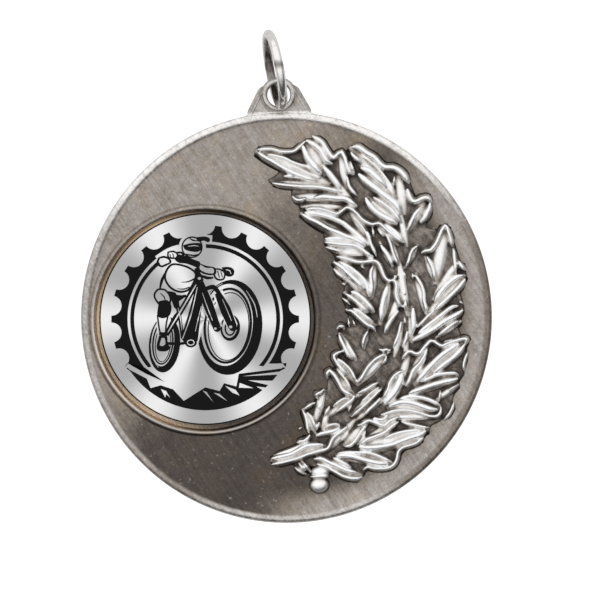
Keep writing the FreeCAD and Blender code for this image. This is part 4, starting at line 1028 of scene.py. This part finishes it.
def acorn():
    """Acorn under the stem: a cup with a banded lip, and a smooth nut."""
    x = 3.35
    items = []
    for name, radius, squash, place in (
            ("cup", 1.25, 0.72, (x + 0.1, -18.95, 3.0)), ("lip", 1.32, 0.3, (x, -19.45, 3.05)),
            ("nut", 1.26, 0.85, (x - 0.05, -20.5, 2.95))):
        deselect()
        bpy.ops.mesh.primitive_uv_sphere_add(segments=48, ring_count=32, radius=radius, location=place)
        item = bpy.context.object
        item.name = name
        item.scale = (1, squash, 0.85)
        bpy.ops.object.transform_apply(location=True, rotation=True, scale=True)
        items.append(item)
    fused = joined(*items)
    fused.name = "acorn"
    apply_modifier(fused, "REMESH", mode="VOXEL", voxel_size=FUSED_DETAIL)
    apply_modifier(fused, "SMOOTH", factor=0.5, iterations=3)
    start_editing(fused)
    bpy.ops.mesh.bisect(plane_co=(0, 0, TRIM_HEIGHT), plane_no=(0, 0, 1), use_fill=True, clear_inner=True)
    close_mesh()
    return fused


def mark_polish_and_shade(item):
    """Store how far each place stands above what is round it, where a cloth reaches; the leaves' polish,
    painted highlights and painted shade follow it.
    """
    mesh = item.data
    places = np.empty(len(mesh.vertices) * 3)
    mesh.vertices.foreach_get("co", places)
    places = places.reshape(-1, 3)
    cell = 0.1
    low = places[:, :2].min(axis=0) - 1.0
    spots = ((places[:, :2] - low) / cell).astype(int)
    size = spots.max(axis=0) + 12
    heights = np.full(size, PLATEAU_HEIGHT - 0.15)
    np.maximum.at(heights, (spots[:, 0], spots[:, 1]), places[:, 2])
    around = heights
    reach = 5
    for axis in (0, 1):
        around = sum(np.roll(around, shift, axis) for shift in range(-reach, reach + 1)) / (2 * reach + 1)
    raised = places[:, 2] - around[spots[:, 0], spots[:, 1]]
    attribute = mesh.attributes.new("raised", "FLOAT", "POINT")
    attribute.data.foreach_set("value", raised.astype(np.float32))


# ---------------------------------------------------------------- the insert
def insert_disc():
    """Bright metal disc with a fine broken edge."""
    low, high = INSERT_LOW.z, INSERT_HIGH.z
    edge = 0.05
    profile = [(INSERT_RADIUS - edge, low), (INSERT_RADIUS, low + edge), (INSERT_RADIUS, high - edge),
               (INSERT_RADIUS - edge, high), (INSERT_RADIUS * 0.5, high), (0.3, high)]
    return turned_solid("insert_plate", profile, INSERT_CENTRE, 256)


# ---------------------------------------------------------------- materials
def cast_grain_group():
    """Uneven casting and patina: wide clouds, small spots and fine grain over a piece."""
    inputs = [("Place", "NodeSocketVector")]
    outputs = [("Cloud", "NodeSocketFloat"), ("Spot", "NodeSocketFloat"), ("Grain", "NodeSocketFloat")]
    group = new_group("cast_grain", inputs, outputs)
    nodes = Nodes(group)
    place = group.nodes.new("NodeGroupInput").outputs["Place"]
    out = group.nodes.new("NodeGroupOutput")
    nodes.feed(out, "Cloud", nodes.span(nodes.noise(place, 0.22, 4, 0.6), 0.3, 0.7, -1, 1))
    nodes.feed(out, "Spot", nodes.span(nodes.noise(place, 1.3, 4, 0.7), 0.3, 0.7, -1, 1))
    nodes.feed(out, "Grain", nodes.span(nodes.noise(place, 4.5, 3, 0.7), 0.3, 0.7, -1, 1))
    return group


def brush_marks_group():
    """Long fine marks of a finishing brush, running along X of the place given."""
    inputs = [("Place", "NodeSocketVector")]
    group = new_group("brush_marks", inputs, [("Marks", "NodeSocketFloat")])
    nodes = Nodes(group)
    place = group.nodes.new("NodeGroupInput").outputs["Place"]
    out = group.nodes.new("NodeGroupOutput")
    wide = nodes.add("Mapping", {"Vector": place, "Scale": (0.1, 1.7, 1)}).outputs[0]
    fine = nodes.add("Mapping", {"Vector": place, "Scale": (0.22, 5.0, 1)}).outputs[0]
    marks = nodes.math("ADD", nodes.noise(wide, 1.0, 3, 0.6), nodes.noise(fine, 1.0, 2, 0.5))
    nodes.feed(out, "Marks", nodes.span(marks, 0.7, 1.3, -1, 1))
    return group


CAST_GRAIN = cast_grain_group()
BRUSH_MARKS = brush_marks_group()
BRUSH_TURN = math.radians(58)


def with_group(nodes, group, place):
    node = nodes.add("Group", node_tree=group)
    nodes.feed(node, "Place", place)
    return node.outputs


def antique_silver():
    """Brushed dark silver, brown in its darker tones: painted light makes it pale at the top left, painted
    highlights brighten the rim and the right edge, painted shade darkens it towards the bottom.
    """
    material, nodes, shader = new_metal("antique_silver")
    place = nodes.place_mm()
    spots = nodes.add("SeparateXYZ", {0: place})
    x, y = spots.outputs[0], spots.outputs[1]
    grain = with_group(nodes, CAST_GRAIN, place)
    marks = with_group(nodes, BRUSH_MARKS, nodes.place_mm(turn=BRUSH_TURN))["Marks"]
    radius = nodes.distance(place, (0, 0))
    # painted light: the field is paler towards the top left, and painted shade leaves it darker towards the
    # bottom
    across = nodes.math("ADD", nodes.times(x, -0.8), nodes.times(y, 0.7))
    across = nodes.math("ADD", across, nodes.times(grain["Cloud"], 1.8))
    pale = nodes.times(nodes.smooth(across, 0, 17), 0.25)
    # painted sheen on the field near the right edge
    rightward = nodes.math("ADD", x, nodes.times(y, -0.4))
    edge = nodes.times(nodes.smooth(radius, 20.3, 23.4), nodes.smooth(rightward, 3, 14))
    middle = nodes.smooth(radius, 14, 6)
    tone = nodes.sum(pale, 0.08, nodes.times(edge, 0.3), nodes.times(middle, 0.03))
    # painted highlight on the rim: brightest at the top, less at the bottom and the left
    rim_tone = nodes.sum(
        0.22, nodes.times(nodes.smooth(y, 6, 22), 0.7),
        nodes.times(nodes.smooth(x, -12, -23), 0.25),
        nodes.times(nodes.smooth(y, -19, -24), 0.33))
    tone = nodes.blend_value(nodes.smooth(radius, 23.95, 24.35), tone, rim_tone)
    # the lug, its bead bright and the groove round the bead dark
    from_eye = nodes.distance(place, LUG_EYE)
    lug_tone = nodes.sum(
        0.47, nodes.times(nodes.bump_shape(from_eye, 1.3, 1.7, 2.05), 0.14),
        nodes.times(nodes.bump_shape(from_eye, 1.95, 2.15, 2.45), -0.15))
    tone = nodes.blend_value(nodes.smooth(y, 24.9, 25.15), tone, lug_tone)
    # wear and dirt make the tone uneven
    uneven = nodes.sum(
        1.0, nodes.times(marks, 0.17), nodes.times(grain["Spot"], 0.24),
        nodes.times(grain["Grain"], 0.2), nodes.times(grain["Cloud"], 0.12))
    tone = nodes.times(tone, uneven)
    # the collar: tan inside the lip, a painted highlight on its crest towards the lower left, dark in the
    # crease outside it
    reach = nodes.distance(place, RECESS_CENTRE)
    lower_left = nodes.sum(nodes.times(x, -0.35), nodes.times(y, -0.94), -3.5)
    crest = nodes.bump_shape(reach, 13.45, 13.66, 13.88)
    crest = nodes.times(crest, nodes.smooth(lower_left, -4, 9))
    crease = nodes.bump_shape(reach, 13.85, 14.05, 14.3)
    tone = nodes.times(tone, nodes.math("SUBTRACT", 1.0, nodes.times(crease, 0.4)))
    tone = nodes.math("ADD", tone, nodes.times(crest, 0.4))
    speck = nodes.smooth(nodes.noise(place, 2.6, 2, 0.5), 0.68, 0.74)
    tone = nodes.math("ADD", tone, nodes.times(speck, 0.14), clamp=True)
    colour = nodes.ramp(tone, [(0.0, (0.02, 0.016, 0.014)), (0.08, (0.09, 0.076, 0.068)),
                               (0.25, (0.28, 0.245, 0.21)), (0.36, (0.375, 0.34, 0.315)),
                               (0.6, (0.62, 0.59, 0.565)), (1.0, (0.95, 0.93, 0.91))])
    warm = nodes.mix(1.0, colour, grey((1.0, 0.93, 0.82)), "MULTIPLY")
    tinted = nodes.times(nodes.smooth(grain["Cloud"], 0.0, 0.9), nodes.smooth(radius, 24.2, 23.6))
    colour = nodes.mix(tinted, colour, warm)
    tan = nodes.mix(nodes.smooth(x, -6, -16), grey((0.17, 0.14, 0.12)), grey((0.8, 0.64, 0.47)))
    colour = nodes.mix(nodes.times(nodes.smooth(reach, 13.6, 13.4), 0.9), colour, tan)
    nodes.feed(shader, "Base Color", colour)
    nodes.feed(shader, "Roughness", nodes.span(grain["Spot"], -1, 1, 0.3, 0.46))
    fine = nodes.add("Bump", {"Strength": 0.35, "Distance": 0.00002, "Height": marks}).outputs[0]
    inputs = {"Strength": 0.25, "Distance": 0.00006, "Height": grain["Spot"], "Normal": fine}
    lumps = nodes.add("Bump", inputs)
    nodes.feed(shader, "Normal", lumps.outputs[0])
    return material


def leaf_silver():
    """Cast leaves: dark patina left low down, bright metal where they are polished, with painted highlights
    on the crests and painted shade in the hollows as well.
    """
    material, nodes, shader = new_metal("leaf_silver")
    place = nodes.place_mm()
    height = nodes.add("SeparateXYZ", {0: place}).outputs[2]
    raised = nodes.add("Attribute", attribute_name="raised").outputs["Fac"]
    grain = with_group(nodes, CAST_GRAIN, place)
    streak_place = nodes.add("Mapping", {"Vector": place, "Rotation": (0, 0, math.radians(55))}).outputs[0]
    streak_place = nodes.add("Mapping", {"Vector": streak_place, "Scale": (0.4, 2.0, 1)}).outputs[0]
    streaks = nodes.span(nodes.noise(streak_place, 1.0, 4, 0.65), 0.3, 0.7, -1, 1)
    high = nodes.span(height, PLATEAU_HEIGHT, 4.0)
    crest = nodes.span(raised, -0.3, 0.24)
    # real polish on the high places, with painted highlights on the crests and painted shade in the hollows
    wear_and_highlight = nodes.sum(
        nodes.times(high, 0.58), nodes.times(crest, 0.4), -0.03,
        nodes.times(streaks, 0.07), nodes.times(grain["Spot"], 0.06),
        nodes.times(grain["Grain"], 0.04))
    colour = nodes.ramp(wear_and_highlight, [(0.0, (0.04, 0.034, 0.03)), (0.15, (0.11, 0.094, 0.084)),
                               (0.29, (0.3, 0.265, 0.235)), (0.42, (0.55, 0.51, 0.47)),
                               (0.58, (0.83, 0.8, 0.77)), (0.78, 0.95)])
    nodes.feed(shader, "Base Color", colour)
    nodes.feed(shader, "Roughness", nodes.span(wear_and_highlight, 0.3, 0.8, 0.46, 0.28))
    uneven = nodes.math("ADD", grain["Grain"], streaks)
    lumps = nodes.add("Bump", {"Strength": 0.2, "Distance": 0.00005, "Height": uneven})
    nodes.feed(shader, "Normal", lumps.outputs[0])
    return material


RING_CENTRE = (-0.36, 30.1, 4.96)
RING_RADIUS = 4.4               # to the middle of the wire


def polished_wire():
    """Plated wire, bright outside, with painted shade on its inner side, a painted dark reflection in a band
    across its middle and a few dull rubs.
    """
    material, nodes, shader = new_metal("ring_wire")
    place = nodes.place_mm()
    grain = with_group(nodes, CAST_GRAIN, place)
    height = nodes.add("SeparateXYZ", {0: place}).outputs[1]
    inputs = {0: place, 1: RING_CENTRE}
    from_centre = nodes.add("VectorMath", inputs, operation="DISTANCE").outputs["Value"]
    # painted shade on the inner side of the wire
    inside = nodes.smooth(from_centre, RING_RADIUS - 0.05, RING_RADIUS - 0.45)
    # painted dark reflection in a band across the middle of the ring
    painted_dark_band = nodes.times(nodes.bump_shape(height, 29.8, 30.6, 31.4), 0.75)
    dark = nodes.sum(nodes.times(inside, 0.8), painted_dark_band, nodes.span(grain["Spot"], 0.1, 1, 0, 0.35))
    dark = nodes.math("MINIMUM", dark, 0.92)
    colour = nodes.mix(dark, grey((0.9, 0.88, 0.86)), grey((0.09, 0.075, 0.065)))
    nodes.feed(shader, "Base Color", colour)
    nodes.feed(shader, "Roughness", nodes.span(grain["Grain"], -1, 1, 0.12, 0.22))
    return material


def foam_tape():
    """Grey double-sided foam, seen only at its edge."""
    material, nodes, shader = new_material("adhesive")
    grain = with_group(nodes, CAST_GRAIN, nodes.place_mm())
    nodes.feed(shader, "Base Color", nodes.mix(nodes.span(grain["Grain"], -1, 1), grey(0.18), grey(0.3)))
    shader.inputs["Roughness"].default_value = 0.85
    return material


SHINE_SECTORS = 6               # a turned face shines in evenly spaced sectors
SHINE_SHARPNESS = 1.5
SHINE_DULL = 0.42
SHINE_BRIGHT = 0.86
TURNING_LINES = 9.0             # about this many to a millimetre


def brushed_insert():
    """Insert face: shine in sectors round the centre, with fine turning lines."""
    material, nodes, shader = new_metal("brushed_insert")
    shift = (-INSERT_CENTRE[0], -INSERT_CENTRE[1], 0)
    place = nodes.place_mm(turn=-HANGING_TURN, shift=shift)
    around = nodes.add("TexGradient", {0: place}, gradient_type="RADIAL").outputs["Fac"]
    wave = nodes.math("COSINE", nodes.times(around, SHINE_SECTORS * 2 * math.pi))
    shine = nodes.math("POWER", nodes.span(wave, -1, 1), SHINE_SHARPNESS)
    tone = nodes.blend_value(shine, SHINE_DULL, SHINE_BRIGHT)
    colour = nodes.even(tone)
    spots = nodes.add("SeparateXYZ", {0: place})
    flat = nodes.add("CombineXYZ", {0: spots.outputs[0], 1: spots.outputs[1]}).outputs[0]
    reach = nodes.add("VectorMath", {0: flat}, operation="LENGTH").outputs["Value"]
    outward = nodes.add("CombineXYZ", {0: nodes.times(reach, TURNING_LINES)}).outputs[0]
    lines = nodes.noise(outward, 1.0, 3, 0.7)
    shade = nodes.span(lines, 0.3, 0.7, 0.94, 1.04)
    colour = nodes.mix(1.0, colour, nodes.even(shade), "MULTIPLY")
    nodes.feed(shader, "Base Color", colour)
    nodes.feed(shader, "Roughness", nodes.span(lines, 0.3, 0.7, 0.3, 0.4))
    return material


def black_ink():
    """Matt printing ink with a slight mottle."""
    material, nodes, shader = new_material("black_ink")
    grain = with_group(nodes, CAST_GRAIN, nodes.place_mm())
    mottle = nodes.span(grain["Grain"], -1, 1)
    nodes.feed(shader, "Base Color", nodes.mix(mottle, grey(0.003), grey(0.007)))
    nodes.feed(shader, "Roughness", nodes.blend_value(mottle, 0.45, 0.6))
    shader.inputs["Specular IOR Level"].default_value = 0.1
    return material


# ---------------------------------------------------------------- assembly
silver = antique_silver()
leaf_metal = leaf_silver()

for piece, material, angle in (
        (disc_body(), silver, 40), (recess_collar(), silver, 60), (hanging_lug(), silver, 50),
        (oak_spray(), leaf_metal, 80), (acorn(), leaf_metal, 80)):
    if material == leaf_metal:
        mark_polish_and_shade(piece)
    finish_piece(piece, "medal", material, angle)
    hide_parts("medal_casting")

plate = insert_disc()
finish_piece(plate, "medal", brushed_insert())
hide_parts("insert_disc")

ink = printed_ink()
finish_piece(ink, "medal", black_ink())
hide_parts("insert_artwork")

for node, material in (("adhesive_pad", foam_tape()), ("jump_ring", polished_wire())):
    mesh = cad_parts[node].data
    mesh.materials.clear()
    mesh.materials.append(material)


# ---------------------------------------------------------------- stage
FLOOR_SIZE = 6.0
FLOOR_HEIGHT = -0.00003         # a hair under the medal's back, so the two faces never coincide
BACKDROP_GLOW = 1.1             # what the camera sees behind the medal is plain white
LIGHT_FROM = (-0.2, 0.62, 0.75)
VIEW_WIDTH = 0.07299            # metres seen across at the camera's distance
CAMERA_DISTANCE = 1.0
CAMERA_X = 0.001715
CAMERA_Y = 0.00207
RIM_TOP = 0.003


def floor():
    """Pale floor that shows as plain white."""
    deselect()
    bpy.ops.mesh.primitive_plane_add(size=FLOOR_SIZE, location=(0, 0, FLOOR_HEIGHT))
    item = bpy.context.object
    item.name = "floor"
    material, nodes, shader = new_material("floor")
    shader.inputs["Base Color"].default_value = grey(0.85)
    shader.inputs["Roughness"].default_value = 0.8
    glow = nodes.add("Emission", {"Color": grey(1.0), "Strength": BACKDROP_GLOW})
    seen_directly = nodes.add("LightPath").outputs["Is Camera Ray"]
    seen = nodes.add("MixShader", {0: seen_directly, 1: shader.outputs[0], 2: glow.outputs[0]})
    output = nodes.tree.nodes["Material Output"]
    nodes.feed(output, "Surface", seen.outputs[0])
    item.data.materials.append(material)


def studio_light():
    """Wide soft light from overhead and from the top of the medal, dark towards its foot."""
    world = bpy.data.worlds.new("studio")
    bpy.context.scene.world = world
    world.use_nodes = True
    nodes = Nodes(world.node_tree)
    background = world.node_tree.nodes["Background"]
    direction = nodes.add("TexCoord").outputs["Generated"]
    inputs = {0: direction, 1: tuple(Vector(LIGHT_FROM).normalized())}
    aim = nodes.add("VectorMath", inputs, operation="DOT_PRODUCT").outputs["Value"]
    light = nodes.span(aim, -0.1, 0.55, 0.08, 1.05)
    seen_directly = nodes.add("LightPath").outputs["Is Camera Ray"]
    strength = nodes.blend_value(seen_directly, light, BACKDROP_GLOW)
    nodes.feed(background, "Strength", strength)
    background.inputs["Color"].default_value = grey(1.0)


def camera():
    """Long lens straight above, turned as the medal hangs."""
    data = bpy.data.cameras.new("camera")
    item = bpy.data.objects.new("camera", data)
    bpy.context.collection.objects.link(item)
    data.sensor_width = 36.0
    data.lens = data.sensor_width * CAMERA_DISTANCE / VIEW_WIDTH
    item.location = (CAMERA_X, CAMERA_Y, RIM_TOP + CAMERA_DISTANCE)
    item.rotation_euler = (0, 0, HANGING_TURN)
    data.clip_end = 10
    bpy.context.scene.camera = item


floor()
studio_light()
camera()
bpy.context.scene.view_settings.view_transform = "Standard"
